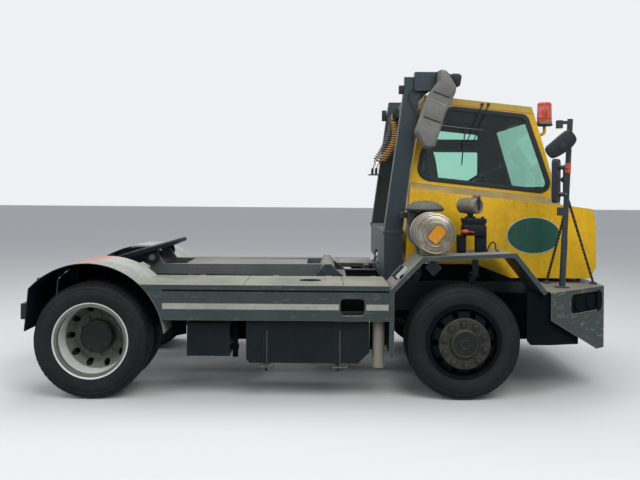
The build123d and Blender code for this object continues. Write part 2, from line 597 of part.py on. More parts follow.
# Front axle: dropped beam with kingpin bosses, and its leaf springs
BEAM_LINE = [(-800, 432), (-560, 432), (-500, 340), (500, 340), (560, 432), (800, 432), (800, 500),
             (560, 500), (470, 400), (-470, 400), (-560, 500), (-800, 500)]
SPRING_HALF = 560.0
with BuildPart() as front_axle:
    front_plate(BEAM_LINE, (FRONT_AXLE_X - 48, FRONT_AXLE_X + 48))
    for side in (RIGHT, LEFT):
        rod((FRONT_AXLE_X, side * KINGPIN_Y, WHEEL_Z - 62),
            (FRONT_AXLE_X, side * KINGPIN_Y, WHEEL_Z + 62), 48)
        block((FRONT_AXLE_X - 40, FRONT_AXLE_X + 40), span(side, 780, KINGPIN_Y),
              (WHEEL_Z - 35, WHEEL_Z + 33))
        rod((FRONT_AXLE_X, side * KINGPIN_Y, WHEEL_Z - 90), (FRONT_AXLE_X, side * KINGPIN_Y, WHEEL_Z + 90),
            STEER_PIN_RADIUS + RUNNING_GAP, mode=Mode.SUBTRACT)
        # Leaf spring: arched bundle and its seat
        low_y, high_y = span(side, RAIL_OUTER_Y - 85, RAIL_OUTER_Y - 12 - RUNNING_GAP)
        with BuildSketch(Plane.XZ.offset(-high_y)) as leaf:
            with BuildLine() as bow:
                ThreePointArc((FRONT_AXLE_X - SPRING_HALF, SPRING_END_Z - 8), (FRONT_AXLE_X, 452),
                              (FRONT_AXLE_X + SPRING_HALF, SPRING_END_Z - 8))
            trace(bow.line, line_width=42)
        extrude(leaf.sketch, amount=high_y - low_y)
        block((FRONT_AXLE_X - 60, FRONT_AXLE_X + 60), span(side, RAIL_OUTER_Y - 90, RAIL_OUTER_Y - 8),
              (395, 440))
keep(front_axle, "front_axle")


def knuckle(side):
    """Steering knuckle: fork round the beam's boss, kingpin, spindle, brake plate and arm."""
    with BuildPart() as piece:
        rod((FRONT_AXLE_X, side * KINGPIN_Y, WHEEL_Z - 92), (FRONT_AXLE_X, side * KINGPIN_Y, WHEEL_Z + 92),
            STEER_PIN_RADIUS)
        for low in (WHEEL_Z - 92, WHEEL_Z + 64):
            block((FRONT_AXLE_X - 42, FRONT_AXLE_X + 42), span(side, KINGPIN_Y - 42, KINGPIN_Y + 62),
                  (low, low + 28))
        block((FRONT_AXLE_X - 60, FRONT_AXLE_X + 60), span(side, KINGPIN_Y + 50, KINGPIN_Y + 62),
              (WHEEL_Z - 92, WHEEL_Z + 92))
        rod((FRONT_AXLE_X, side * (KINGPIN_Y + 55), WHEEL_Z),
            (FRONT_AXLE_X, side * (KINGPIN_Y + 320), WHEEL_Z), SPINDLE_RADIUS)
        # Steering arm to the tie rod, below the beam
        block((FRONT_AXLE_X - STEER_ARM - 24, FRONT_AXLE_X - 40), span(side, KINGPIN_Y - 22, KINGPIN_Y + 18),
              (TIE_ROD_Z + 32, TIE_ROD_Z + 50))
        rod((FRONT_AXLE_X - STEER_ARM, side * KINGPIN_Y, TIE_ROD_Z - 24),
            (FRONT_AXLE_X - STEER_ARM, side * KINGPIN_Y, TIE_ROD_Z + 33), 12)
    return piece


keep(knuckle(RIGHT), "knuckle_right")
keep(knuckle(LEFT), "knuckle_left")

with BuildPart() as tie_rod:
    rod((FRONT_AXLE_X - STEER_ARM, -KINGPIN_Y, TIE_ROD_Z),
        (FRONT_AXLE_X - STEER_ARM, KINGPIN_Y, TIE_ROD_Z), TIE_ROD_RADIUS - 4)
    for side in (RIGHT, LEFT):
        rod((FRONT_AXLE_X - STEER_ARM, side * KINGPIN_Y, TIE_ROD_Z - 22),
            (FRONT_AXLE_X - STEER_ARM, side * KINGPIN_Y, TIE_ROD_Z + 22), 28)
        rod((FRONT_AXLE_X - STEER_ARM, side * KINGPIN_Y, TIE_ROD_Z - 30),
            (FRONT_AXLE_X - STEER_ARM, side * KINGPIN_Y, TIE_ROD_Z + 30), 12 + RUNNING_GAP,
            mode=Mode.SUBTRACT)
keep(tie_rod, "tie_rod")

# Engine as one block, with gearbox and propeller shaft
with BuildPart() as drive_train:
    block((810, 1410), (-300, 300), (440, 1020))
    block((0, 660), (-190, 190), (480, 790))
    block((659, 811), (-240, 240), (460, 690))
    rod((0, 0, 560), (REAR_AXLE_X + 301, 0, WHEEL_Z + 14), 45)
keep(drive_train, "drive_train")

# Lift boom: side beams, hub on the pivot pin, top plate, cylinder lugs, pedestals of the plate
with BuildPart() as lift_boom:
    for side in (RIGHT, LEFT):
        side_plate([(BOOM_REAR_X, BOOM_BOTTOM_Z + 12), (BOOM_REAR_X, BOOM_TOP_Z - 8), (-80, BOOM_TOP_Z),
                    (BOOM_PIVOT_X, BOOM_PIVOT_Z + 60), (BOOM_PIVOT_X, BOOM_PIVOT_Z - 60),
                    (-40, BOOM_BOTTOM_Z)], span(side, BOOM_HALF_WIDTH - 60, BOOM_HALF_WIDTH))
        for lug in (LIFT_Y - 60, LIFT_Y + LIFT_EYE_HALF + 5):
            block((LIFT_EYE_X - 35, LIFT_EYE_X + 35), span(side, lug, lug + 15),
                  (LIFT_EYE_Z - 35, BOOM_TOP_Z - 7))
        rod((LIFT_EYE_X, side * (LIFT_Y - 60), LIFT_EYE_Z),
            (LIFT_EYE_X, side * (LIFT_Y + 60), LIFT_EYE_Z), LIFT_PIN_RADIUS)
        # Pedestal and pin of the fifth wheel
        side_plate([(PLATE_PIVOT_X - 60, BOOM_TOP_Z - 30), (PLATE_PIVOT_X - 30, PLATE_PIVOT_Z + 30),
                    (PLATE_PIVOT_X + 30, PLATE_PIVOT_Z + 30), (PLATE_PIVOT_X + 110, BOOM_TOP_Z - 30)],
                   span(side, BOOM_HALF_WIDTH - 60, BOOM_HALF_WIDTH - 10))
        rod((PLATE_PIVOT_X, side * (BOOM_HALF_WIDTH - 60), PLATE_PIVOT_Z),
            (PLATE_PIVOT_X, side * (BOOM_HALF_WIDTH + 62), PLATE_PIVOT_Z), 28)
    rod((BOOM_PIVOT_X, -RAIL_INNER_Y + EAR_GAP, BOOM_PIVOT_Z),
        (BOOM_PIVOT_X, RAIL_INNER_Y - EAR_GAP, BOOM_PIVOT_Z), 72)
    block((-1200, -80), (-BOOM_HALF_WIDTH + 50, BOOM_HALF_WIDTH - 50), (BOOM_TOP_Z - 16, BOOM_TOP_Z - 8))
    block((BOOM_REAR_X + 10, BOOM_REAR_X + 110), (-BOOM_HALF_WIDTH + 50, BOOM_HALF_WIDTH - 50),
          (BOOM_BOTTOM_Z + 14, BOOM_TOP_Z - 12))
    rod((BOOM_PIVOT_X, -RAIL_INNER_Y, BOOM_PIVOT_Z), (BOOM_PIVOT_X, RAIL_INNER_Y, BOOM_PIVOT_Z),
        PIVOT_PIN_RADIUS + RUNNING_GAP, mode=Mode.SUBTRACT)
keep(lift_boom, "lift_boom")

# Lift cylinders: barrels on the chassis pins, rods with eyes round the boom pins
lift_way = Vector(LIFT_EYE_X - LIFT_BASE_X, 0, LIFT_EYE_Z - LIFT_BASE_Z).normalized()


def on_lift(side, along):
    """Point on a cylinder's line, measured from its foot."""
    return (LIFT_BASE_X + lift_way.X * along, side * LIFT_Y, LIFT_BASE_Z + lift_way.Z * along)


with BuildPart() as lift_barrels:
    for side in (RIGHT, LEFT):
        rod(on_lift(side, 52), on_lift(side, BARREL_LENGTH), BARREL_RADIUS)
        rod(on_lift(side, 0), on_lift(side, 54), LIFT_EYE_RADIUS - 6)
        rod((LIFT_BASE_X, side * (LIFT_Y - LIFT_EYE_HALF), LIFT_BASE_Z),
            (LIFT_BASE_X, side * (LIFT_Y + LIFT_EYE_HALF), LIFT_BASE_Z), LIFT_EYE_RADIUS)
        rod((LIFT_BASE_X, side * (LIFT_Y - 60), LIFT_BASE_Z),
            (LIFT_BASE_X, side * (LIFT_Y + 60), LIFT_BASE_Z), LIFT_PIN_RADIUS + RUNNING_GAP,
            mode=Mode.SUBTRACT)
        rod(on_lift(side, 62), on_lift(side, BARREL_LENGTH + 5), PISTON_ROD_RADIUS + RUNNING_GAP,
            mode=Mode.SUBTRACT)
keep(lift_barrels, "lift_barrels")

lift_length = math.hypot(LIFT_EYE_X - LIFT_BASE_X, LIFT_EYE_Z - LIFT_BASE_Z)
with BuildPart() as lift_rods:
    for side in (RIGHT, LEFT):
        rod(on_lift(side, lift_length - PISTON_ROD_LENGTH), on_lift(side, lift_length - 20),
            PISTON_ROD_RADIUS)
        rod((LIFT_EYE_X, side * (LIFT_Y - LIFT_EYE_HALF), LIFT_EYE_Z),
            (LIFT_EYE_X, side * (LIFT_Y + LIFT_EYE_HALF), LIFT_EYE_Z), LIFT_EYE_RADIUS)
        rod((LIFT_EYE_X, side * (LIFT_Y - 60), LIFT_EYE_Z),
            (LIFT_EYE_X, side * (LIFT_Y + 60), LIFT_EYE_Z), LIFT_PIN_RADIUS + 3, mode=Mode.SUBTRACT)
keep(lift_rods, "lift_rods")

# Fifth wheel: plate with its throat and kingpin seat, tilted rear end down
tilt = math.radians(PLATE_TILT)
plate_plane = Plane(origin=(PLATE_PIVOT_X, 0, PLATE_PIVOT_Z), x_dir=(math.cos(tilt), 0, math.sin(tilt)),
                    z_dir=(-math.sin(tilt), 0, math.cos(tilt)))
PLATE_TOP = 88.0
PLATE_LINE = [(215, -300), (215, 300), (140, PLATE_HALF_WIDTH), (-240, PLATE_HALF_WIDTH),
              (-430, 300), (-430, THROAT_HALF_WIDTH), (-60, 30), (-60, -30),
              (-430, -THROAT_HALF_WIDTH), (-430, -300), (-240, -PLATE_HALF_WIDTH),
              (140, -PLATE_HALF_WIDTH)]
with BuildPart() as fifth_wheel:
    with BuildSketch(plate_plane.offset(PLATE_TOP - PLATE_THICK)) as top:
        with BuildLine():
            Polyline(*PLATE_LINE, close=True)
        make_face()
        with Locations((-30, 0)):
            Rectangle(64, 2 * KINGPIN_RADIUS, mode=Mode.SUBTRACT)
        Circle(KINGPIN_RADIUS, mode=Mode.SUBTRACT)
    extrude(top.sketch, amount=PLATE_THICK)
    for side in (RIGHT, LEFT):
        low_y, high_y = span(side, BOOM_HALF_WIDTH + 2, BOOM_HALF_WIDTH + 60)
        with BuildSketch(plate_plane) as ear:
            with Locations((0, (low_y + high_y) / 2)):
                Rectangle(120, high_y - low_y)
        extrude(ear.sketch, amount=PLATE_TOP - PLATE_THICK + 1)
        rod((PLATE_PIVOT_X, low_y, PLATE_PIVOT_Z), (PLATE_PIVOT_X, high_y, PLATE_PIVOT_Z), 60)
        rod((PLATE_PIVOT_X, low_y - 5, PLATE_PIVOT_Z), (PLATE_PIVOT_X, high_y + 5, PLATE_PIVOT_Z),
            28 + RUNNING_GAP, mode=Mode.SUBTRACT)
keep(fifth_wheel, "fifth_wheel")

# Air hoses hung between the cross member and the coupling shelf on the left post
SHELF_Z = 1860.0
HOSE_RADIUS = 6.0
COIL_RADIUS = 52.0
LEAD = 55.0
HOSES = [  # label, y, top x, top z, foot x, foot z
    ("grey", 850.0, 818.0, 2545.0, 606.0, 1925.0),
    ("yellow", 730.0, 800.0, 2500.0, 636.0, 1925.0),
]

# Tower: two leaning posts on a transverse base wall with an arch, and a cross member
lean = math.tan(math.radians(POST_LEAN))
BASE_WALL = 14.0
BASE_FOOT_Z = 880.0
ARCH_FROM_Y = 20.0
ARCH_TO_Y = 590.0
BASE_STEP_Y = 620.0
BASE_STEP_Z = 1010.0
ARCH_FOOT_Z = 950.0
ARCH_TOP_Z = 1100.0
CROSS_LOW_Z = 2480.0
CROSS_HIGH_Z = 2580.0


def post_rear(z):
    """X of a post's rear face at height z."""
    return POST_FOOT_X + (z - POST_FOOT_Z) * lean


def post_front(z):
    """X of a post's front face at height z."""
    share = (z - POST_FOOT_Z) / (POST_TOP_Z - POST_FOOT_Z)
    return post_rear(z) + POST_FOOT_DEPTH + (POST_TOP_DEPTH - POST_FOOT_DEPTH) * share


tower_low = POST_RIGHT_Y - POST_WIDTH / 2
tower_high = POST_LEFT_Y + POST_WIDTH / 2
with BuildPart() as tower:
    for middle in (POST_RIGHT_Y, POST_LEFT_Y):
        low, high = middle - POST_WIDTH / 2, middle + POST_WIDTH / 2
        side_plate([(post_rear(POST_FOOT_Z), POST_FOOT_Z), (post_front(POST_FOOT_Z), POST_FOOT_Z),
                    (post_front(POST_TOP_Z), POST_TOP_Z), (post_rear(POST_TOP_Z), POST_TOP_Z)], (low, high))
        # Flange and base box
        block((POST_FOOT_X - 12, POST_FOOT_X + POST_FOOT_DEPTH + 12), (low - 8, high + 8),
              (POST_FOOT_Z - 24, POST_FOOT_Z + 1))
    block((POST_FOOT_X, POST_FOOT_X + POST_FOOT_DEPTH), (tower_low, tower_low + POST_WIDTH),
          (BASE_FOOT_Z, POST_FOOT_Z))
    block((POST_FOOT_X, POST_FOOT_X + POST_FOOT_DEPTH), (tower_high - POST_WIDTH, tower_high),
          (BASE_STEP_Z, POST_FOOT_Z))
    block((POST_FOOT_X, POST_FOOT_X + POST_FOOT_DEPTH), (RAIL_INNER_Y + 10, RAIL_OUTER_Y + 55),
          (BASE_FOOT_Z, ARCH_FOOT_Z - 4))
    front_plate([(tower_low, BASE_FOOT_Z), (BASE_STEP_Y, BASE_FOOT_Z), (BASE_STEP_Y, BASE_STEP_Z),
                 (tower_high, BASE_STEP_Z), (tower_high, POST_FOOT_Z), (tower_low, POST_FOOT_Z)],
                (POST_FOOT_X, POST_FOOT_X + BASE_WALL))
    block((POST_FOOT_X, POST_FOOT_X + POST_FOOT_DEPTH), (tower_low, tower_high),
          (POST_FOOT_Z - BASE_WALL, POST_FOOT_Z))
    with BuildSketch(Plane.YZ.offset(POST_FOOT_X - 1)) as arch:
        with BuildLine():
            Polyline((ARCH_FROM_Y, ARCH_TOP_Z - 90), (ARCH_FROM_Y, ARCH_FOOT_Z), (ARCH_TO_Y, ARCH_FOOT_Z),
                     (ARCH_TO_Y, ARCH_TOP_Z - 90))
            ThreePointArc((ARCH_TO_Y, ARCH_TOP_Z - 90), ((ARCH_FROM_Y + ARCH_TO_Y) / 2, ARCH_TOP_Z),
                          (ARCH_FROM_Y, ARCH_TOP_Z - 90))
        make_face()
    extrude(arch.sketch, amount=BASE_WALL + 2, mode=Mode.SUBTRACT)
    cross_x = post_rear(CROSS_LOW_Z) + 95
    block((cross_x, cross_x + 45), (tower_low + 5, tower_high - 5), (CROSS_LOW_Z, CROSS_HIGH_Z))
    for label, y, top_x, top_z, foot_x, foot_z in HOSES:
        top, foot = Vector(top_x, y, top_z), Vector(foot_x, y, foot_z)
        way = (top - foot).normalized()
        rod(tuple(top), tuple(top + way * 24), 11)
        block((top_x - 8, cross_x + 1), (y - 15, y + 15), (top_z + 10, top_z + 34))
    # Head box on the right post
    block((868, 1086), (tower_low - 40, POST_RIGHT_Y - 1), (2575, 2740))
    block((post_rear(2600), 900), (tower_low, POST_RIGHT_Y - 1), (2600, 2700))
keep(tower, "tower")

# Intake hood: tall tapered duct beside the head box, with its ribs
HOOD_LINE = [(1062, 2742), (1123, 2734), (1211, 2593), (1202, 2541), (1114, 2348), (1027, 2067),
             (978, 2050), (930, 2067), (856, 2199), (965, 2519), (1058, 2641)]
HOOD_INNER_Y = -600.3
HOOD_WIDTH = 150.0
with BuildPart() as intake_hood:
    side_plate(HOOD_LINE, (HOOD_INNER_Y - HOOD_WIDTH, HOOD_INNER_Y))
keep(intake_hood, "intake_hood")


def fender_top(x):
    """Height just above the right front fender's sheet, where a foot stands on it."""
    return height_on(RIGHT_FENDER_LINE, x) + FRONT_FENDER_SHEET / 2 + RUNNING_GAP


# Muffler: drum across the vehicle on two saddles over the right fender
MUFFLER_X = 965.0
MUFFLER_Z = 1345.0
MUFFLER_RADIUS = 165.0
MUFFLER_FROM_Y = -1235.0
MUFFLER_TO_Y = -575.0
with BuildPart() as muffler:
    length = MUFFLER_TO_Y - MUFFLER_FROM_Y
    turned([(0, 0), (0, 96), (10, 100), (10, 140), (22, MUFFLER_RADIUS - 4), (150, MUFFLER_RADIUS - 4),
            (150, MUFFLER_RADIUS), (185, MUFFLER_RADIUS), (185, MUFFLER_RADIUS - 4),
            (length - 60, MUFFLER_RADIUS - 4), (length - 60, MUFFLER_RADIUS), (length - 25, MUFFLER_RADIUS),
            (length - 25, MUFFLER_RADIUS - 8), (length, 140), (length, 0)],
           (MUFFLER_X, MUFFLER_FROM_Y, MUFFLER_Z), (0, 1, 0))
    for saddle in (MUFFLER_FROM_Y + 160, MUFFLER_FROM_Y + 460):
        side_plate([(MUFFLER_X - 90, fender_top(MUFFLER_X - 90)), (MUFFLER_X - 115, MUFFLER_Z - 112),
                    (MUFFLER_X + 115, MUFFLER_Z - 112), (MUFFLER_X + 90, fender_top(MUFFLER_X + 90))],
                   (saddle, saddle + 25))
keep(muffler, "muffler")

# Air cleaner: mushroom cap over a duct that the right post carries
CAP_X = 942.0
CAP_Y = -745.0
CAP_Z = 1514.0
with BuildPart() as air_cleaner:
    turned([(0, 0), (0, 150), (10, 166), (22, 166), (55, 140), (82, 90), (94, 0)], (CAP_X, CAP_Y, CAP_Z),
           (0, 0, 1))
    side_plate([(798, 1513), (890, 1513), (862, CAP_Z + 12), (798, CAP_Z + 12)], (CAP_Y - 70, CAP_Y + 70))
    side_plate([(798, 1400), (798, 1520), (880, 1520), (846, 1470), (822, 1435), (812, 1400)],
               (CAP_Y - 70, CAP_Y + 70))
    block((740, 800), (CAP_Y + 40, tower_low), (1450, 1500))
keep(air_cleaner, "air_cleaner")

# Fluid reservoir on its valve block and two legs over the right fender
UNIT_Y = -860.0
LEG_X = [1215, 1330]
with BuildPart() as reservoir_unit:
    for leg in LEG_X:
        side_plate([(leg, fender_top(leg)), (leg, 1310), (leg + 75, 1310), (leg + 75, fender_top(leg + 75))],
                   (UNIT_Y - 50, UNIT_Y + 50))
    block((1240, 1420), (UNIT_Y - 80, UNIT_Y + 80), (1309, 1450))
    block((1270, 1300), (UNIT_Y - 40, UNIT_Y + 40), (1449, 1510))
    block((1350, 1380), (UNIT_Y - 40, UNIT_Y + 40), (1449, 1510))
    turned([(0, 0), (0, 60), (8, 68), (150, 68), (152, 71), (165, 71), (167, 68), (185, 68), (192, 62),
            (192, 0)], (1240, UNIT_Y + 30, 1562), (0.93, -0.36, 0))
    rod((1360, UNIT_Y - 10, 1600), (1360, UNIT_Y - 10, 1650), 32)
keep(reservoir_unit, "reservoir_unit")

# Mirror post with its braces, standing on the bumper's top
POST_X = 2084.0
MIRROR_POST_Y = -895.0
MIRROR_TOP = (2142.0, -895.0, 2305.0)
MAIN_MIRROR = Plane(origin=(1996, -1065, 1780), x_dir=(0.5, 0.866, 0), z_dir=(0.866, -0.5, 0))
MAIN_MIRROR_ARM = 110.0
MIRROR_BOSS = 40.0
WIDE_MIRROR = Plane(origin=(2020, -1010, 2078), x_dir=(0.899, 0, 0.438), z_dir=(0, -1, 0))
WIDE_MIRROR_DEPTH = 52.0


def post_centre_x(z):
    """X of the mirror post's upper tube at height z."""
    return POST_X + 17 + (MIRROR_TOP[0] - POST_X - 17) * (z - 1280) / (MIRROR_TOP[2] - 1280)


with BuildPart() as mirror_post:
    rod((POST_X, MIRROR_POST_Y, BUMPER_TOP_Z + 3), (POST_X + 18, MIRROR_POST_Y, 1300), 26)
    rod((POST_X + 17, MIRROR_POST_Y, 1280), MIRROR_TOP, 23)
    block((POST_X - 50, POST_X + 50), (MIRROR_POST_Y - 50, MIRROR_POST_Y + 50),
          (BUMPER_TOP_Z, BUMPER_TOP_Z + 10))
    rod((2440, -640, BUMPER_TOP_Z + 14), (2124, -890, 1650), 11)
    rod((2040, -610, BUMPER_TOP_Z + 14), (2112, -890, 1540), 11)
    block((2415, 2465), (-665, -615), (BUMPER_TOP_Z, BUMPER_TOP_Z + 16))
    block((2015, 2065), (-635, -585), (BUMPER_TOP_Z, BUMPER_TOP_Z + 16))
    # Arms to the mirrors, each ending in a boss square to the mirror's back
    for lift in (-MAIN_MIRROR_ARM, MAIN_MIRROR_ARM):
        back = MAIN_MIRROR.origin + Vector(0, 0, lift)
        knee = back + MAIN_MIRROR.z_dir * MIRROR_BOSS
        rod(tuple(back + MAIN_MIRROR.z_dir * RUNNING_GAP), tuple(knee), 18)
        rod(tuple(knee - MAIN_MIRROR.z_dir * 12), (post_centre_x(back.Z), MIRROR_POST_Y, back.Z), 10)
    knee = (2060, WIDE_MIRROR.origin.Y + MIRROR_BOSS, 2098)
    rod((2060, WIDE_MIRROR.origin.Y + RUNNING_GAP, 2098), knee, 18)
    rod((knee[0], knee[1] - 12, knee[2]), (post_centre_x(2110), MIRROR_POST_Y, 2110), 10)
    # Bracket at the top and a lamp clamp lower down
    block((2036, 2140), (MIRROR_POST_Y - 18, MIRROR_POST_Y + 18), (2262, 2288))
    block((2030, 2072), (MIRROR_POST_Y - 30, MIRROR_POST_Y + 30), (2226, 2292))
    block((2042, 2100), (MIRROR_POST_Y - 30, MIRROR_POST_Y + 20), (1490, 1560))
keep(mirror_post, "mirror_post")

with BuildPart() as right_mirrors:
    with BuildSketch(WIDE_MIRROR) as wide:
        RectangleRounded(288, 158, 70)
    extrude(wide.sketch, amount=WIDE_MIRROR_DEPTH, taper=14)
    with BuildSketch(MAIN_MIRROR) as main:
        RectangleRounded(150, 361, 36)
    extrude(main.sketch, amount=-45)
keep(right_mirrors, "right_mirrors")

# Tank with straps and hooks under the right deck, boxes, and the left side's air tanks
TANK_FROM_X = -550.0
TANK_TO_X = 443.0
TANK_BOTTOM_Z = 295.0
TANK_TOP_Z = 625.0
with BuildPart() as fuel_tank:
    side_plate([(TANK_FROM_X, TANK_BOTTOM_Z + 30), (TANK_FROM_X, TANK_TOP_Z), (TANK_TO_X, TANK_TOP_Z),
                (TANK_TO_X, TANK_BOTTOM_Z + 90), (TANK_TO_X - 90, TANK_BOTTOM_Z),
                (TANK_FROM_X + 30, TANK_BOTTOM_Z)], (-HALF_WIDTH + 70, -DECK_INNER_Y - 20))
    for strap in (-386, 188):
        block((strap - 25, strap + 25), (-HALF_WIDTH + 62, -DECK_INNER_Y - 12),
              (TANK_BOTTOM_Z - 8, TANK_TOP_Z + 8))
        block((strap - 25, strap + 25), (-DECK_INNER_Y - 30, -RAIL_OUTER_Y),
              (TANK_TOP_Z + 8, TANK_TOP_Z + 40))
        block((strap - 25, strap + 25), (-DECK_INNER_Y - 30, -DECK_INNER_Y - 12),
              (TANK_TOP_Z, TANK_TOP_Z + 40))
        rod((strap, -HALF_WIDTH + 80, TANK_BOTTOM_Z - 66), (strap, -HALF_WIDTH + 80, TANK_BOTTOM_Z), 9)
keep(fuel_tank, "fuel_tank")

with BuildPart() as side_boxes:
    # Tool box behind the tank, hung from the rail
    block((-1034, -687), (-HALF_WIDTH + 110, -DECK_INNER_Y - 60), (339, 600))
    block((-960, -760), (-DECK_INNER_Y - 61, -RAIL_OUTER_Y), (640, 665))
    block((-960, -760), (-DECK_INNER_Y - 80, -DECK_INNER_Y - 61), (590, 665))
    # Upright filter in front of the tank
    rod((520, -1120, 260), (520, -1120, 640), 51)
    block((495, 545), (-1120, -RAIL_OUTER_Y), (600, 630))
    # Battery box and two air tanks on the left
    block((-60, 430), (DECK_INNER_Y + 20, HALF_WIDTH - 75), (330, 625))
    block((150, 200), (RAIL_OUTER_Y, DECK_INNER_Y + 30), (600, 640))
    for height in (400, 620):
        rod((-1080, 900, height - 20), (-180, 900, height - 20), 95)
    for hanger in (-950, -350):
        block((hanger - 20, hanger + 20), (RAIL_OUTER_Y, 900), (465, 535))
        block((hanger - 20, hanger + 20), (RAIL_OUTER_Y, RAIL_OUTER_Y + 12), (480, 700))
keep(side_boxes, "side_boxes")

# Cab: a hull of its outer shape, hollowed and split where the panels meet
belt_slope = math.atan2(BELT_REAR[1] - BELT_FRONT[1], BELT_FRONT[0] - BELT_REAR[0])


def shoulder_cut(side_y, way):
    """Wedge along a sloping shoulder; way points inwards."""
    plane = Plane(origin=(BELT_REAR[0], side_y, BELT_REAR[1]), x_dir=(0, way, 0),
                  z_dir=(math.cos(belt_slope), 0, -math.sin(belt_slope)))
    up = 1 if plane.y_dir.Z > 0 else -1
    with BuildSketch(plane) as wedge:
        with BuildLine():
            Polyline((-10, -up * SHOULDER_DROP), (0, -up * SHOULDER_DROP), (SHOULDER_IN, 0),
                     (SHOULDER_IN, up * 10), (-10, up * 10), close=True)
        make_face()
    extrude(wedge.sketch, amount=1700, both=True, mode=Mode.SUBTRACT)


def cab_solid(inset):
    """The cab's outer solid, moved inwards by inset on every side."""
    lower = [(CAB_REAR_X + inset, CAB_FLOOR_Z + inset), (FLOOR_STEP[0] + inset * 0.2, CAB_FLOOR_Z + inset),
             (FLOOR_STEP[1] + inset * 0.2, NOSE_BOTTOM_Z + inset),
             (NOSE_BACK_X - inset, NOSE_BOTTOM_Z + inset),
             (BELT_FRONT[0] - inset, BELT_FRONT[1]), (BELT_REAR[0] + inset, BELT_REAR[1])]
    upper = [(BELT_REAR[0] + inset, BELT_REAR[1] - 1), (BELT_FRONT[0] - inset, BELT_FRONT[1] - 1),
             (ROOF_FRONT[0] - inset, ROOF_FRONT[1] - inset), (ROOF_REAR[0] + inset, ROOF_REAR[1] - inset)]
    with BuildPart() as solid:
        side_plate(lower, (CAB_RIGHT_Y + inset, CAB_LEFT_Y - inset))
        shoulder_cut(CAB_RIGHT_Y + inset, 1)
        shoulder_cut(CAB_LEFT_Y - inset, -1)
        side_plate(upper, (CAB_RIGHT_Y + SHOULDER_IN + inset, CAB_LEFT_Y - SHOULDER_IN - inset))
    return solid.part


def window_hole(points, y, corner=WINDOW_CORNER):
    """Cut a window with rounded corners through a side."""
    with BuildSketch(Plane.XZ.offset(-y[1])) as hole:
        with BuildLine():
            Polyline(*points, close=True)
        make_face()
        fillet(hole.vertices(), corner)
    extrude(hole.sketch, amount=y[1] - y[0], mode=Mode.SUBTRACT)


shell = cab_solid(0) - cab_solid(CAB_WALL)
glass_right_y = CAB_RIGHT_Y + SHOULDER_IN
glass_left_y = CAB_LEFT_Y - SHOULDER_IN
LONG = 4000
roof_floor = [(ROOF_REAR[0] - 200, ROOF_REAR[1] - ROOF_THICK + 21),
              (ROOF_FRONT[0] + 200, ROOF_FRONT[1] - ROOF_THICK - 21),
              (ROOF_FRONT[0] + 200, 2700), (ROOF_REAR[0] - 200, 2700)]
front_cut_x = NOSE_BACK_X - CAB_WALL - 8
front_region = [(front_cut_x, 800), (front_cut_x, BELT_FRONT[1] + 8),
                (ROOF_FRONT[0] - CAB_WALL - 25, ROOF_FRONT[1]), (ROOF_FRONT[0] - CAB_WALL - 25, 2700),
                (2600, 2700), (2600, 800)]
rear_region = [(700, 900), (CAB_REAR_X + CAB_WALL + 3, 900), (CAB_REAR_X + CAB_WALL + 3, CAB_FLOOR_Z),
               (BELT_REAR[0] + CAB_WALL + 3, BELT_REAR[1]), (ROOF_REAR[0] + CAB_WALL + 20, ROOF_REAR[1]),
               (ROOF_REAR[0] + CAB_WALL + 20, 2700), (700, 2700)]


def region(points, y):
    """A solid of an outline in X and Z, made apart from any piece."""
    with BuildPart() as solid:
        side_plate(points, y)
    return solid.part


everything = (-LONG, LONG)
roof_solid = region(roof_floor, everything)
front_solid = region(front_region, everything)
rear_solid = region(rear_region, everything)
right_solid = region([(0, 0), (3000, 0), (3000, 3000), (0, 3000)], (-LONG, glass_right_y + CAB_WALL + 3))
left_solid = region([(0, 0), (3000, 0), (3000, 3000), (0, 3000)], (glass_left_y - CAB_WALL - 3, LONG))

with BuildPart() as cab_roof:
    add(shell & roof_solid)
keep(cab_roof, "cab_roof")

body = shell - roof_solid
with BuildPart() as cab_front:
    add(body & front_solid)
    screen_run = Vector(ROOF_FRONT[0] - BELT_FRONT[0], 0, ROOF_FRONT[1] - BELT_FRONT[1])
    glass_middle_y = (glass_right_y + glass_left_y) / 2
    screen_middle = Vector(BELT_FRONT[0], glass_middle_y, BELT_FRONT[1]) + screen_run * 0.49
    screen_plane = Plane(origin=screen_middle, x_dir=(0, 1, 0), z_dir=(screen_run.Z, 0, -screen_run.X))
    screen_width = glass_left_y - glass_right_y - 180
    screen_height = screen_run.length - 190
    with BuildSketch(screen_plane) as hole:
        RectangleRounded(screen_width, screen_height, WINDOW_CORNER)
    extrude(hole.sketch, amount=90, both=True, mode=Mode.SUBTRACT)
keep(cab_front, "cab_front")

body = body - front_solid
with BuildPart() as cab_rear:
    add(body & rear_solid)
    rear_run = Vector(ROOF_REAR[0] - BELT_REAR[0], 0, ROOF_REAR[1] - BELT_REAR[1])
    rear_middle = Vector(BELT_REAR[0], glass_middle_y, BELT_REAR[1]) + rear_run * 0.48
    rear_plane = Plane(origin=rear_middle, x_dir=(0, 1, 0), z_dir=(rear_run.Z, 0, -rear_run.X))
    rear_height = rear_run.length - 220
    with BuildSketch(rear_plane) as hole:
        RectangleRounded(screen_width - 60, rear_height, WINDOW_CORNER)
    extrude(hole.sketch, amount=90, both=True, mode=Mode.SUBTRACT)
keep(cab_rear, "cab_rear")

body = body - rear_solid
with BuildPart() as cab_side_right:
    add(body & right_solid)
    window_hole(SIDE_WINDOW, (-LONG, 0))
keep(cab_side_right, "cab_side_right")

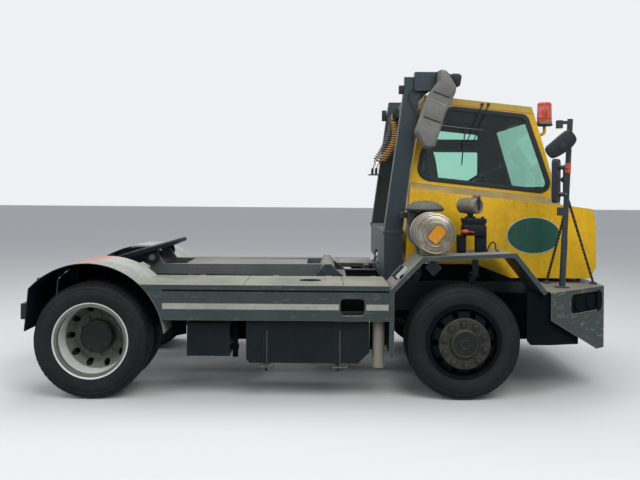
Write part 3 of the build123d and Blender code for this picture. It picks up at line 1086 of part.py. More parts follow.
door_prism = region(DOOR_LINE, (900, LONG))
with BuildPart() as cab_side_left:
    add((body & left_solid) - door_prism)
    # Hinge leaves with their pins
    for height in HINGE_Z:
        rod((*DOOR_HINGE, height - 40), (*DOOR_HINGE, height + 40), HINGE_PIN_RADIUS)
        for low, high in ((height - 44, height - 24.3), (height + 24.3, height + 44)):
            rod((*DOOR_HINGE, low), (*DOOR_HINGE, high), HINGE_RADIUS)
            block((DOOR_HINGE[0], DOOR_HINGE[0] + 60), (CAB_LEFT_Y - 1, CAB_LEFT_Y + 9), (low, high))
keep(cab_side_left, "cab_side_left")

with BuildPart() as cab_floor:
    add(body - left_solid - right_solid)
keep(cab_floor, "cab_floor")

# Left door, cut from the same wall with a gap all round, and its hinge barrels
with BuildPart() as door_gap_line:
    with BuildSketch(Plane.XZ.offset(-LONG)) as outline:
        with BuildLine():
            Polyline(*DOOR_LINE, close=True)
        make_face()
        offset(amount=-DOOR_GAP, kind=Kind.INTERSECTION, mode=Mode.REPLACE)
    extrude(outline.sketch, amount=LONG - 900)
with BuildPart() as left_door:
    add((body & left_solid) & door_gap_line.part)
    for window in DOOR_WINDOWS:
        window_hole(window, (0, LONG), DOOR_WINDOW_CORNER)
    for height in HINGE_Z:
        block((DOOR_HINGE[0] - 60, DOOR_HINGE[0] - 14), (CAB_LEFT_Y - 1, CAB_LEFT_Y + 7),
              (height - 24, height + 24))
        block((DOOR_HINGE[0] - 30, DOOR_HINGE[0]), (CAB_LEFT_Y + 2, CAB_LEFT_Y + 9),
              (height - 24, height + 24))
        rod((*DOOR_HINGE, height - 24), (*DOOR_HINGE, height + 24), HINGE_RADIUS)
        rod((*DOOR_HINGE, height - 30), (*DOOR_HINGE, height + 30), HINGE_PIN_RADIUS + RUNNING_GAP,
            mode=Mode.SUBTRACT)
keep(left_door, "left_door")


def pane(points, y, corner=WINDOW_CORNER):
    """A side pane, smaller than its hole by the glass gap."""
    with BuildSketch(Plane.XZ.offset(-y[1])) as sheet:
        with BuildLine():
            Polyline(*points, close=True)
        make_face()
        fillet(sheet.vertices(), corner)
        offset(amount=-GLASS_GAP, mode=Mode.REPLACE)
    extrude(sheet.sketch, amount=y[1] - y[0])


with BuildPart() as cab_glass:
    pane(SIDE_WINDOW, (glass_right_y + 14, glass_right_y + 14 + GLASS_THICK))
    with BuildSketch(screen_plane.offset(-14)) as sheet:
        RectangleRounded(screen_width - 2 * GLASS_GAP, screen_height - 2 * GLASS_GAP, WINDOW_CORNER)
    extrude(sheet.sketch, amount=-GLASS_THICK)
    with BuildSketch(rear_plane.offset(14)) as sheet:
        RectangleRounded(screen_width - 60 - 2 * GLASS_GAP, rear_height - 2 * GLASS_GAP, WINDOW_CORNER)
    extrude(sheet.sketch, amount=GLASS_THICK)
keep(cab_glass, "cab_glass")

with BuildPart() as door_glass:
    for window in DOOR_WINDOWS:
        pane(window, (glass_left_y - 14 - GLASS_THICK, glass_left_y - 14), DOOR_WINDOW_CORNER)
keep(door_glass, "door_glass")

# Nose in front of the cab, with its grille slots
with BuildPart() as cab_nose:
    nose_back = NOSE_BACK_X + PANEL_GAP
    side_plate([(nose_back, NOSE_BOTTOM_Z)] + NOSE_LINE[:-1] + [(nose_back, NOSE_LINE[-1][1])],
               (CAB_RIGHT_Y, CAB_LEFT_Y))
    for lug in TILT_LUG_Y:
        block((TILT_X - 12, TILT_X + 12), (lug - 12, lug + 12), (TILT_Z, NOSE_BOTTOM_Z + 1))
        rod((TILT_X, lug - 12, TILT_Z), (TILT_X, lug + 12, TILT_Z), TILT_PIN_RADIUS)
        rod((TILT_X, lug - 14, TILT_Z), (TILT_X, lug + 14, TILT_Z), TILT_PIN_RADIUS - 4 + RUNNING_GAP,
            mode=Mode.SUBTRACT)
    for row in range(6):
        height = 1080 + row * 48
        block((NOSE_LINE[1][0] - 20, NOSE_LINE[1][0] + 5), (CAB_RIGHT_Y + 300, CAB_LEFT_Y - 300),
              (height, height + 26), mode=Mode.SUBTRACT)
keep(cab_nose, "cab_nose")

# Seat, dashboard with column, steering wheel
with BuildPart() as seat:
    block((1180, 1480), (SEAT_Y - 180, SEAT_Y + 180), (CAB_FLOOR_Z + CAB_WALL, 1380))
    block((1120, 1600), (SEAT_Y - 250, SEAT_Y + 250), (1380, 1520))
    side_plate([(1120, 1520), (1030, 2150), (1110, 2170), (1240, 1520)], (SEAT_Y - 240, SEAT_Y + 240))
    fillet(seat.edges().filter_by(Axis.Y).group_by(Axis.X)[-1], 30)
keep(seat, "seat")

column_way = (Vector(*WHEEL_CENTRE) - Vector(*COLUMN_FOOT)).normalized()
with BuildPart() as dashboard:
    side_plate([(1960, NOSE_BOTTOM_Z + CAB_WALL), (1880, 1480), (1900, 1600), (2130, 1560),
                (2130, NOSE_BOTTOM_Z + CAB_WALL)],
               (glass_right_y + CAB_WALL + 10, glass_left_y - CAB_WALL - 10))
    rod(COLUMN_FOOT, tuple(Vector(*WHEEL_CENTRE) - column_way * (6 + RUNNING_GAP)), 28)
keep(dashboard, "dashboard")

with BuildPart() as steering_wheel:
    wheel_plane = Plane(origin=WHEEL_CENTRE, z_dir=column_way)
    with BuildSketch(wheel_plane.offset(-6)) as wheel_face:
        Circle(STEERING_RADIUS)
        Circle(STEERING_RADIUS - 30, mode=Mode.SUBTRACT)
        Circle(48)
        with PolarLocations(0, 3):
            with Locations((STEERING_RADIUS / 2 + 10, 0)):
                Rectangle(STEERING_RADIUS - 50, 30)
    extrude(wheel_face.sketch, amount=26)
keep(steering_wheel, "steering_wheel")

# Beacon on its bent stem at the near pillar
BEACON_Y = -430.0
STEM_Z = 2200.0
with BuildPart() as beacon:
    share = (STEM_Z - BELT_FRONT[1]) / (ROOF_FRONT[1] - BELT_FRONT[1])
    seat_x = BELT_FRONT[0] + (ROOF_FRONT[0] - BELT_FRONT[0]) * share
    seat_point = Vector(seat_x, BEACON_Y, STEM_Z) + screen_plane.z_dir * RUNNING_GAP
    rod(tuple(seat_point), tuple(seat_point + screen_plane.z_dir * 10), 30)
    rod(tuple(seat_point + screen_plane.z_dir * 8), (2064, BEACON_Y, 2235), 16)
    with Locations((2064, BEACON_Y, 2235)):
        Sphere(16)
    rod((2064, BEACON_Y, 2235), (2064, BEACON_Y, 2290), 16)
    turned([(0, 0), (0, 70), (38, 70), (40, 60), (170, 56), (200, 40), (205, 0)],
           (2064, BEACON_Y, 2289), (0, 0, 1))
keep(beacon, "beacon")

# Coupling shelf and the hoses
with BuildPart() as hose_shelf:
    block((560, 690), (660, POST_LEFT_Y - POST_WIDTH / 2), (SHELF_Z - 10, SHELF_Z))
    for label, y, top_x, top_z, foot_x, foot_z in HOSES:
        way = (Vector(top_x, y, top_z) - Vector(foot_x, y, foot_z)).normalized()
        bend = Vector(foot_x, y, foot_z) - way * 22
        rod((bend.X, y, SHELF_Z - 1), tuple(bend), 14)
        with Locations(tuple(bend)):
            Sphere(14)
        rod(tuple(bend), (foot_x, y, foot_z), 13)
keep(hose_shelf, "hose_shelf")
for label, y, top_x, top_z, foot_x, foot_z in HOSES:
    top, foot = Vector(top_x, y, top_z), Vector(foot_x, y, foot_z)
    way = (top - foot).normalized()
    with BuildPart() as coil:
        rod(tuple(foot + way * LEAD), tuple(top - way * LEAD), COIL_RADIUS)
    keep(coil, label + "_hose_coil")
    with BuildPart() as leads:
        rod(tuple(foot), tuple(foot + way * LEAD), HOSE_RADIUS)
        rod(tuple(top - way * LEAD), tuple(top), HOSE_RADIUS)
    keep(leads, label + "_hose_leads")
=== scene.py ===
"""Terminal tractor: its looks, built over the packed part and laid out as a Blender add-on."""

import json
import math

import bmesh
import bpy
from mathutils import Matrix, Vector


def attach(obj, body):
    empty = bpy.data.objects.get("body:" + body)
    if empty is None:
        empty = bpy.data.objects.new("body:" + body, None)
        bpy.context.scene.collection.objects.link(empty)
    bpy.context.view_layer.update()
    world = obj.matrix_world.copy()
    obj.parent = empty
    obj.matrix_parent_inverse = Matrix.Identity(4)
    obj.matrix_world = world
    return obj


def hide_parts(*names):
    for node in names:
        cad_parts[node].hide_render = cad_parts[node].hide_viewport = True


bl_info = {
    "name": "Terminal tractor",
    "version": (1, 0, 0),
    "blender": (4, 5, 0),
    "location": "3D View > Sidebar > Tractor",
    "description": "Builds the tractor's visible pieces and finishes over its packed part",
    "category": "Object",
}

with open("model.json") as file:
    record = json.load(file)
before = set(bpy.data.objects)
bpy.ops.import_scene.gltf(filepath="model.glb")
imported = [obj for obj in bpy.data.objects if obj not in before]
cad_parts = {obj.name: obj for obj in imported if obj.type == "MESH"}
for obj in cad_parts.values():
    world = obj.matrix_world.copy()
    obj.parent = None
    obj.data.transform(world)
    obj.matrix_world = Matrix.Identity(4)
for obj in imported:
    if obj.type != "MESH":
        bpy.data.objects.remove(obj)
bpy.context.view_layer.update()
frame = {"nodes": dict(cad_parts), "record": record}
NODES = frame["nodes"]
RECORD = frame["record"]
BODY_OF = {n: body for body, names in RECORD["behaviour"]["bodies"].items() for n in names}
SLOTS = {m["slot"] for m in RECORD["materials"]}
# The record's slot that stands nearest to each finish of the scene's own
NEAR_SLOTS = {
    "black_paint": ("beam_paint", "boom_paint"),
    "black_plastic": ("cab_trim", "cap_rubber", "dark_lens", "seal_rubber"),
    "bare_metal": ("hook_metal", "lamp_glass", "mirror_glass", "drum_side"),
    "cast_metal": ("grease", "hub_plate", "rust_cap"),
    "silver_rim": ("rim_disc",),
    "amber_plastic": ("orange_lens", "red_plastic", "tag_orange"),
    "fender_steel": ("filter_skin", "stripe_grey"),
    "grey_plastic": ("sign_green", "sign_white"),
    "chassis_paint": ("taped_rod", "underside"),
}
MM = 0.001
RIGHT, LEFT = -1, 1
SIDES = ((RIGHT, "right"), (LEFT, "left"))

# Places shared with the part's source, in millimetres
WHEEL_Z = 467.0
REAR_AXLE_X = -1795.0
FRONT_AXLE_X = 1205.0
REAR_OUTER_Y = 1090.0
DUAL_SPACING = 340.0
FRONT_WHEEL_Y = 1045.0
NUT_CIRCLE = 167.5
HUB_CIRCLE = 104.0
ARCH = (-1820.0, 470.0)
DECK_TOP_Z = 928.0
BEAM_FACE_Y = 1243.6
BEACON = (2064, -430)
CAB_MIDDLE_Y = 305
GLASS_RIGHT_Y = -491.0
GLASS_LEFT_Y = 1101.0
BELT_REAR = (838, 1768)
BELT_FRONT = (2180, 1632)
ROOF_REAR = (971, 2551)
ROOF_FRONT = (1934, 2450)
SIDE_WINDOW = [(925, 1862), (978, 1802), (2040, 1695), (2089, 1756), (1876, 2362), (1203, 2432), (958, 2050)]
DOOR_WINDOWS = [[(1170, 1820), (1795, 1757), (1795, 2131), (1200, 2131)],
                [(1212, 2245), (1795, 2245), (1795, 2322), (1225, 2381)]]

# What only the looks need, in millimetres, degrees and counts
INSIDE_CAB = Vector((1450, 300, 1750))
SHARP_ANGLE = 32
RUBBER_EDGE = 3.0
LUGS = 60
PAD_STEPS = 24
CORNER_SIGNS = ((-1, -1), (1, -1), (1, 1), (-1, 1))

# Stage: linear colours with strengths, places and aims in metres, powers in watts
FLOOR_LIT, FLOOR_SEEN = (0.14, 0.14, 0.14), (0.60, 0.60, 0.59)
SKY_LIT, SKY_SEEN = ((0.86, 0.92, 1.0), 0.55), ((0.86, 0.88, 0.9), 1.0)
LIGHT_SIZE = 6.0
LIGHTS = {
    "key_light": ((3.0, -6.5, 7.5), (0.2, 0, 1.2), 520),
    "fill_light": ((-6.5, -5.0, 5.0), (-0.5, 0, 1.0), 260),
    "top_light": ((0.0, 1.5, 8.0), (0, 0, 0), 380),
}
CAMERA_PLACE = (0.036, -7.148, 1.70)
CAMERA_ROLL = 0.45
CAMERA_LENS = 41.7
CAMERA_SHIFT = -0.08


def srgb(red, green, blue):
    """A colour given as it looks on a screen, 0 to 255, turned to linear light."""
    return tuple(c / 255 / 12.92 if c < 10 else ((c / 255 + 0.055) / 1.055) ** 2.4
                 for c in (red, green, blue))


class TractorColours(bpy.types.PropertyGroup):
    """Colours that a user may change."""

    cab: bpy.props.FloatVectorProperty(
        name="Cab paint", description="Main colour of the cab", subtype="COLOR", default=srgb(230, 181, 22))
    chassis: bpy.props.FloatVectorProperty(
        name="Chassis paint", description="Dark paint of the frame and tower", subtype="COLOR",
        default=srgb(46, 56, 62))
    deck: bpy.props.FloatVectorProperty(
        name="Deck plate", description="Grey of the tread plates", subtype="COLOR", default=srgb(98, 100, 95))
    fender: bpy.props.FloatVectorProperty(
        name="Fender sheet", description="Grey of the rear fenders", subtype="COLOR",
        default=srgb(166, 168, 161))
    glass: bpy.props.FloatVectorProperty(
        name="Glass", description="Tint of the cab's glass", subtype="COLOR", default=srgb(200, 234, 222))
    rim: bpy.props.FloatVectorProperty(
        name="Rear rims", description="Silver of the rear rims", subtype="COLOR", default=srgb(226, 230, 226))
    dust: bpy.props.FloatVectorProperty(
        name="Dust", description="Pale dust on what faces up", subtype="COLOR", default=srgb(150, 147, 132))
    mud: bpy.props.FloatVectorProperty(
        name="Mud", description="Brown dirt low on the vehicle", subtype="COLOR", default=srgb(84, 76, 64))


class TractorSizes(bpy.types.PropertyGroup):
    """Sizes that a user may change."""

    edge: bpy.props.FloatProperty(
        name="Edge rounding", description="Rounding of folded and welded edges", default=0.004, min=0.0005,
        max=0.01, unit="LENGTH")
    seal: bpy.props.FloatProperty(
        name="Window rubber", description="Width of the rubber round the cab's glass", default=0.042,
        min=0.02, max=0.07, unit="LENGTH")
    coil_turns: bpy.props.IntProperty(
        name="Hose turns", description="Turns in each coiled air hose", default=22, min=8, max=40)


# Materials
class Port:
    """A socket in a material's maths; working on it adds nodes."""

    def __init__(self, tree, socket):
        self.tree = tree
        self.socket = socket

    def _math(self, operation, first, second):
        return self.tree.node("ShaderNodeMath", {"operation": operation}, {0: first, 1: second})

    def __add__(self, other):
        return self._math("ADD", self, other)

    def __radd__(self, other):
        return self._math("ADD", other, self)

    def __sub__(self, other):
        return self._math("SUBTRACT", self, other)

    def __rsub__(self, other):
        return self._math("SUBTRACT", other, self)

    def __mul__(self, other):
        return self._math("MULTIPLY", self, other)

    def __rmul__(self, other):
        return self._math("MULTIPLY", other, self)

    def least(self, other):
        """The smaller of two values."""
        return self._math("MINIMUM", self, other)

    def most(self, other):
        """The larger of two values."""
        return self._math("MAXIMUM", self, other)

    def step(self, low, high):
        """0 below low, 1 above high, a smooth slope between."""
        return self.tree.node("ShaderNodeMapRange", {"interpolation_type": "SMOOTHSTEP"},
                              {"Value": self, "From Min": low, "From Max": high})

    def wave(self):
        """A sine from 0 to 1, once for each whole step of the value."""
        return self._math("SINE", self * 6.2832, 0.0) * 0.5 + 0.5


class Tree:
    """Shader nodes being put together."""

    def __init__(self, tree):
        self.tree = tree

    def feed(self, socket, value):
        """Link a port to a socket, or set the socket's value."""
        if isinstance(value, Port):
            self.tree.links.new(value.socket, socket)
        else:
            socket.default_value = value

    def node(self, kind, settings=None, sockets=None, out=0):
        """Any node: its settings first, then its sockets' values or links."""
        made = self.tree.nodes.new(kind)
        for key, value in (settings or {}).items():
            setattr(made, key, value)
        for key, value in (sockets or {}).items():
            self.feed(made.inputs[key], value)
        return Port(self, made.outputs[out])

    def directly_seen(self):
        """1 for camera, glossy and transmission rays, so only they see the pale surround."""
        camera, glossy, through = (self.node("ShaderNodeLightPath", out=ray)
                                   for ray in ("Is Camera Ray", "Is Glossy Ray", "Is Transmission Ray"))
        return camera.most(glossy).most(through)


class Finish(Tree):
    """A material being put together."""

    def __init__(self, name, **constants):
        self.material = bpy.data.materials.new(name)
        self.material.use_nodes = True
        super().__init__(self.material.node_tree)
        self.shader = self.tree.nodes["Principled BSDF"]
        self.coords = self.tree.nodes.new("ShaderNodeTexCoord")
        for key, value in constants.items():
            self.give(key.replace("_", " "), value)

    def place(self, source="Object"):
        """Object coordinates, or the surface's own normal."""
        return Port(self, self.coords.outputs[source])

    def axis(self, letter, source="Object"):
        """One axis of the object coordinates, in metres."""
        return self.node("ShaderNodeSeparateXYZ", None, {0: self.place(source)}, out="XYZ".index(letter))

    def noise(self, scale, detail=4.0, rough=0.6, stretch=(1, 1, 1), seed=(0, 0, 0)):
        """Fractal noise from 0 to 1, stretched along the axes."""
        placed = self.node("ShaderNodeMapping", None,
                           {"Vector": self.place(), "Scale": stretch, "Location": seed})
        return self.node("ShaderNodeTexNoise", None,
                         {"Vector": placed, "Scale": scale, "Detail": detail, "Roughness": rough})

    def mix(self, share, first, second):
        """Between two colours, each a port or linear red, green and blue."""
        first, second = (c if isinstance(c, Port) else (*c, 1.0) for c in (first, second))
        return self.node("ShaderNodeMix", {"data_type": "RGBA"}, {"Factor": share, 6: first, 7: second},
                         out=2)

    def give(self, name, value):
        """Feed a socket of the shader."""
        self.feed(self.shader.inputs[name], value)

    def done(self, base, rough, height=None, depth=0.0):
        """The material with its colour, its roughness and a relief of a depth in metres."""
        self.give("Base Color", base)
        self.give("Roughness", rough)
        if height is not None:
            self.give("Normal", self.node("ShaderNodeBump", None, {"Height": height, "Distance": depth}))
        return self.material


def dim(colour, share):
    """A darker tone of a colour."""
    return tuple(c * share for c in colour)


def setting(name):
    """A colour of the user's, as linear light."""
    return tuple(getattr(bpy.context.scene.tractor_colours, name))


def grimy(name, colour, roughness, metallic=0.0, dust=0.5, mud=0.5, wear=0.0, wear_colour=None,
          streaks=0.0, coat=0.0, relief=0.0004, tread=False, sheen=0.3, scuff=0.63, dust_colour=None,
          faces=(0.25, 0.85), soot=0.0):
    """Paint or metal under dust on what faces up, mud low down, streaks, soot high up and worn edges."""
    made = Finish(name, Metallic=metallic, Specular_IOR_Level=sheen)
    clouds = made.noise(2.3, 5.0, 0.6)
    grain = made.noise(31.0, 5.0, 0.65, seed=(4, 1, 7))
    fine = made.noise(170.0, 3.0, 0.6, seed=(9, 2, 3))
    base = made.mix((clouds * 0.6 + grain * 0.4).step(0.35, 0.7), dim(colour, 0.72), colour)
    rough = 0.06 * grain + roughness
    if streaks:
        runs = made.noise(15.0, 5.0, 0.65, stretch=(1.5, 1.5, 0.09), seed=(3, 3, 0))
        blot = made.noise(1.7, 3.0, 0.5, seed=(7, 5, 2))
        dirty = runs.step(0.50, 0.74) * blot.step(0.36, 0.62) * streaks
        base = made.mix(dirty, base, srgb(112, 86, 34))
        rough = rough + dirty * 0.2
    if wear:
        edge = made.node("ShaderNodeBevel", {"samples": 4}, {"Radius": 0.009})
        flat = made.node("ShaderNodeNewGeometry", out=1)
        bend = 1 - made.node("ShaderNodeVectorMath", {"operation": "DOT_PRODUCT"}, {0: edge, 1: flat}, out=1)
        rubbed = (bend * 9 * grain.step(0.3, 0.6)).least(1.0) * wear
        scratch = made.noise(9.0, 8.0, 0.72, stretch=(1, 1, 3.5),
                             seed=(1, 8, 4)).step(scuff, scuff + 0.05) * wear
        bare = rubbed.most(scratch * 0.55)
        base = made.mix(bare, base, wear_colour)
        rough = rough * (1 - bare) + bare * 0.5
    if soot:
        high = made.axis("Z").step(2.26, 2.46) * (0.45 + 0.55 * clouds) * (0.6 + 0.4 * grain) * soot
        base = made.mix(high, base, srgb(108, 104, 86))
    up = made.axis("Z", "Normal").step(*faces)
    lay = up * (0.45 + 0.55 * clouds.step(0.3, 0.62)) * (0.6 + 0.4 * grain) * dust
    base = made.mix(lay.least(0.94), base, dust_colour or setting("dust"))
    splashed = 0.35 * grain.step(0.35, 0.6) + 0.65 * clouds.step(0.4, 0.62)
    low = (1 - made.axis("Z").step(0.15, 1.15)) * splashed * mud
    base = made.mix(low.least(0.85), base, setting("mud"))
    dull = (lay + low).least(1.0)
    if coat:
        made.give("Coat Roughness", 0.12)
        made.give("Coat Weight", (1 - dull).least(1.0) * coat)
    height = fine * 0.35 + grain * 0.65
    if tread:
        height, relief = height * 0.25 + tread_plate(made), 0.0025
    return made.done(base, rough + dull * (0.9 - roughness) * 0.8, height, relief)


def rusty_sheet(name, colour):
    """Dusty grey sheet with a rust patch over the rear of the wheel."""
    made = Finish(name, Specular_IOR_Level=0.25)
    clouds = made.noise(2.6, 5.0)
    grain = made.noise(34.0, 6.0, 0.68, seed=(2, 9, 4))
    base = made.mix((0.5 * clouds + 0.5 * grain).step(0.36, 0.62), dim(colour, 0.6), colour)
    base = made.mix(grain.step(0.5, 0.72) * 0.6, base, setting("dust"))
    x = made.axis("X")
    near = 1 - made.axis("Y").step(-0.4, 0.4)
    patch = x.step(-2.16, -1.98) * (1 - x.step(-1.86, -1.70)) * clouds.step(0.34, 0.6) * near
    base = made.mix(patch * 0.75, base, srgb(176, 106, 80))
    return made.done(base, 0.55 + 0.3 * grain, grain * 0.4 + tread_plate(made) * 0.6, 0.0015)


def taped(name):
    """Black rod wound with a thin worn tape."""
    made = Finish(name, Specular_IOR_Level=0.2)
    turns = ((made.axis("X") * 0.6 + made.axis("Y") * 0.6 + made.axis("Z")) * 44).wave().step(0.55, 0.8)
    return made.done(made.mix(turns, srgb(24, 28, 30), srgb(118, 104, 52)), 0.5 + 0.2 * turns)


def tread_plate(made):
    """Raised five-bar lozenges of a tread plate, from the object coordinates."""
    along, across = made.axis("X") + 0.7 * made.axis("Z"), made.axis("Y")
    cells = []
    for lean, shift in ((1, 0.0), (-1, 0.5)):
        u = (along + lean * across) * 26 + shift
        v = (along - lean * across) * 9 + shift
        cells.append((u.wave() * v.wave()).step(0.62, 0.78))
    return cells[0].most(cells[1])


def rubber_tyre(name):
    """Dark tread rubber with pale dust in its low relief."""
    made = Finish(name, Specular_IOR_Level=0.2)
    clouds = made.noise(3.0, 5.0)
    grain = made.noise(45.0, 5.0, 0.7, seed=(2, 2, 2))
    base = made.mix(clouds.step(0.35, 0.65), srgb(18, 22, 24), srgb(29, 33, 34))
    dirty = grain.step(0.5, 0.72) * (0.3 + 0.7 * clouds.step(0.4, 0.6))
    base = made.mix(dirty * 0.12, base, setting("mud"))
    return made.done(base, 0.58 + 0.25 * grain, grain, 0.0006)


def plain(name, colour, roughness, metallic=0.0, grain_scale=60.0, relief=0.0003, **constants):
    """A finish with a little variation of tone and gloss."""
    made = Finish(name, Metallic=metallic, **constants)
    grain = made.noise(grain_scale)
    clouds = made.noise(4.0, seed=(3, 7, 1))
    base = made.mix(0.5 * clouds + 0.5 * grain, dim(colour, 0.85), colour)
    return made.done(base, roughness + 0.1 * grain, grain, relief)


def clear_glass(name, colour):
    """Tinted glass that colours what is seen through it, with dusty corners."""
    made = Finish(name, IOR=1.32, Transmission_Weight=1.0)
    dusty = made.noise(2.6, 6.0, 0.65, stretch=(1, 1, 0.5)).step(0.52, 0.8)
    return made.done(made.mix(dusty * 0.25, colour, dim(colour, 0.8)), 0.02 * dusty)


def browned_steel(name):
    """Stainless sheet, brushed round the drum and browned by heat."""
    made = Finish(name, Metallic=0.9)
    rings = made.noise(120.0, stretch=(0.3, 2.4, 0.3))
    clouds = made.noise(6.0, 5.0, 0.65)
    spots = made.noise(40.0, 5.0, 0.7, seed=(5, 1, 1))
    base = made.mix(clouds.step(0.35, 0.65), srgb(120, 112, 98), srgb(170, 164, 152))
    base = made.mix(spots.step(0.56, 0.75) * 0.7, base, srgb(104, 86, 64))
    rough = 0.26 + 0.2 * clouds + 0.25 * spots.step(0.5, 0.8)
    return made.done(base, rough, rings * 0.6 + spots * 0.4, 0.0003)


def amber_lens(name):
    """Ribbed see-through orange plastic."""
    made = Finish(name, IOR=1.49)
    ribs = (made.axis("Z") * 160).wave()
    clouds = made.noise(30.0, 3.0)
    made.give("Alpha", 0.66 + 0.2 * ribs)
    made.material.surface_render_method = "BLENDED"
    base = made.mix(clouds, srgb(182, 52, 24), srgb(222, 84, 40))
    return made.done(base, 0.18 + 0.15 * clouds, ribs, 0.0015)


def hose_plastic(name, colour):
    """Glossy hose plastic with scuffs."""
    made = Finish(name)
    scuffs = made.noise(90.0)
    base = made.mix(scuffs.step(0.4, 0.7), dim(colour, 0.7), colour)
    return made.done(base, 0.32 + 0.25 * scuffs, scuffs, 0.0003)


# Each finish: its maker, its values, and what else the maker takes; colours are as seen on a screen, or a
# setting's name
FINISH_TABLE = {
    "chassis_paint": (grimy, "chassis", 0.4,
                      dict(dust=0.5, mud=0.22, wear=0.35, wear_colour=(104, 108, 108))),
    "beam_paint": (grimy, (58, 68, 69), 0.42,
                   dict(dust=0.7, mud=0.08, wear=0.6, wear_colour=(112, 118, 114), scuff=0.57)),
    "deck_plate": (grimy, "deck", 0.5,
                   dict(dust=0.85, mud=0.1, wear=0.6, wear_colour=(150, 150, 142), tread=True)),
    "fender_steel": (rusty_sheet, "fender"),
    "bumper_steel": (grimy, (56, 66, 64), 0.42,
                     dict(dust=0.8, mud=0.1, wear=0.9, wear_colour=(128, 134, 128), scuff=0.555)),
    "cab_paint": (grimy, "cab", 0.42, dict(dust=1.2, mud=0.0, streaks=0.3, coat=0.08, sheen=0.35,
                                           dust_colour=(130, 118, 84), faces=(0.1, 0.6), soot=0.75)),
    "black_paint": (grimy, (18, 27, 32), 0.5,
                    dict(dust=0.4, mud=0.05, wear=0.3, wear_colour=(74, 80, 82), sheen=0.15)),
    # Near-black for painted shade: in recesses, holes, arches and gaps, and behind and under parts
    "underside": (grimy, (14, 22, 26), 0.8, dict(dust=0.0, mud=0.05, sheen=0.05)),
    "grease": (grimy, (24, 26, 28), 0.6, dict(dust=0.06, mud=0.05, relief=0.002, sheen=0.1)),
    "hook_metal": (grimy, (92, 96, 94), 0.5, dict(metallic=0.5, dust=0.1, mud=0.2)),
    "filter_skin": (grimy, (150, 146, 134), 0.5, dict(dust=0.3, mud=0.3)),
    "taped_rod": (taped,),
    "silver_rim": (grimy, "rim", 0.38, dict(dust=0.1, mud=0.0, sheen=0.5)),
    "rim_disc": (grimy, (112, 116, 110), 0.5, dict(dust=0.2, mud=0.12)),
    "hub_plate": (grimy, (64, 64, 59), 0.6, dict(dust=0.3, mud=0.2, relief=0.001, sheen=0.15)),
    "black_rim": (grimy, (24, 28, 30), 0.5,
                  dict(dust=0.25, mud=0.15, wear=0.5, wear_colour=(80, 78, 72), sheen=0.2)),
    "cast_metal": (grimy, (28, 32, 34), 0.6, dict(dust=0.3, mud=0.15, relief=0.0012, sheen=0.15)),
    "bare_metal": (grimy, (126, 120, 108), 0.45, dict(metallic=0.4, dust=0.5, mud=0.0)),
    "grey_plastic": (grimy, (122, 121, 118), 0.6, dict(dust=0.3, mud=0.0, streaks=0.2)),
    "black_plastic": (plain, (34, 38, 44), 0.5, dict(Specular_IOR_Level=0.25)),
    "seal_rubber": (plain, (38, 44, 46), 0.6, dict(Specular_IOR_Level=0.25)),
    "cap_rubber": (grimy, (60, 60, 64), 0.6, dict(dust=0.5, mud=0.0, sheen=0.2)),
    "boom_paint": (grimy, (84, 88, 88), 0.5, dict(dust=0.5, mud=0.1, wear=0.4, wear_colour=(120, 122, 118))),
    # Darker sides of the muffler drum: painted shade, with brown wear
    "drum_side": (grimy, (112, 106, 96), 0.55,
                  dict(metallic=0.2, dust=0.4, mud=0.1, wear=0.4, wear_colour=(78, 62, 48))),
    "rust_cap": (plain, (150, 104, 96), 0.6),
    "cab_trim": (plain, (34, 40, 42), 0.75, dict(relief=0.0005, Specular_IOR_Level=0.2)),
    "seat_cloth": (plain, (44, 47, 54), 0.92, dict(grain_scale=300.0, relief=0.001)),
    "green_glass": (clear_glass, "glass"),
    "mirror_glass": (plain, (200, 205, 208), 0.04, dict(metallic=1.0, relief=0.0)),
    "lamp_glass": (plain, (196, 200, 198), 0.12, dict(metallic=0.6, relief=0.0)),
    "dark_lens": (plain, (18, 21, 23), 0.2, dict(relief=0.0, Specular_IOR_Level=0.25)),
    "chrome_rod": (plain, (212, 212, 216), 0.08, dict(metallic=1.0, relief=0.0)),
    "stainless": (browned_steel,),
    "amber_plastic": (amber_lens,),
    "red_plastic": (plain, (186, 52, 40), 0.35),
    "orange_lens": (plain, (216, 84, 40), 0.3),
    "tag_orange": (grimy, (222, 150, 42), 0.5, dict(dust=0.1, mud=0.0, streaks=0.5)),
    "sign_green": (grimy, (24, 84, 68), 0.38, dict(dust=0.15, mud=0.0, streaks=0.2, coat=0.2)),
    "sign_white": (plain, (196, 200, 196), 0.4),
    "stripe_grey": (grimy, (172, 175, 165), 0.5, dict(dust=0.3, mud=0.0, wear=0.5, wear_colour=(70, 76, 76))),
    "tyre_rubber": (rubber_tyre,),
    "grey_hose": (hose_plastic, (112, 117, 120)),
    "yellow_hose": (hose_plastic, (206, 152, 70)),
}
FINISHES = {}


def make_finishes():
    """Paints, metals, rubber and glass."""
    def linear(value):
        if isinstance(value, str):
            return setting(value)
        return srgb(*value) if isinstance(value, tuple) else value

    for name, (maker, *values) in FINISH_TABLE.items():
        extra = values.pop() if values and isinstance(values[-1], dict) else {}
        extra = {key: linear(value) if key.endswith("_colour") else value for key, value in extra.items()}
        FINISHES[name] = maker(name, *map(linear, values), **extra)


# Shapes, in millimetres until a piece is finished
def bevelled(bm, geom, width, affect, segments):
    """Round edges or corners."""
    bmesh.ops.bevel(bm, geom=geom, offset=width, affect=affect, segments=segments, profile=0.5, material=-1,
                    clamp_overlap=True)


def rounded(bm, verts, width, least_angle=25, segments=2):
    """Round the sharp edges between the given points."""
    inside = set(verts)
    edges = [e for e in {e for v in verts for e in v.link_edges}
             if inside.issuperset(e.verts) and len(e.link_faces) == 2
             and math.degrees(e.calc_face_angle()) > least_angle]
    bevelled(bm, edges, width, "EDGES", segments)


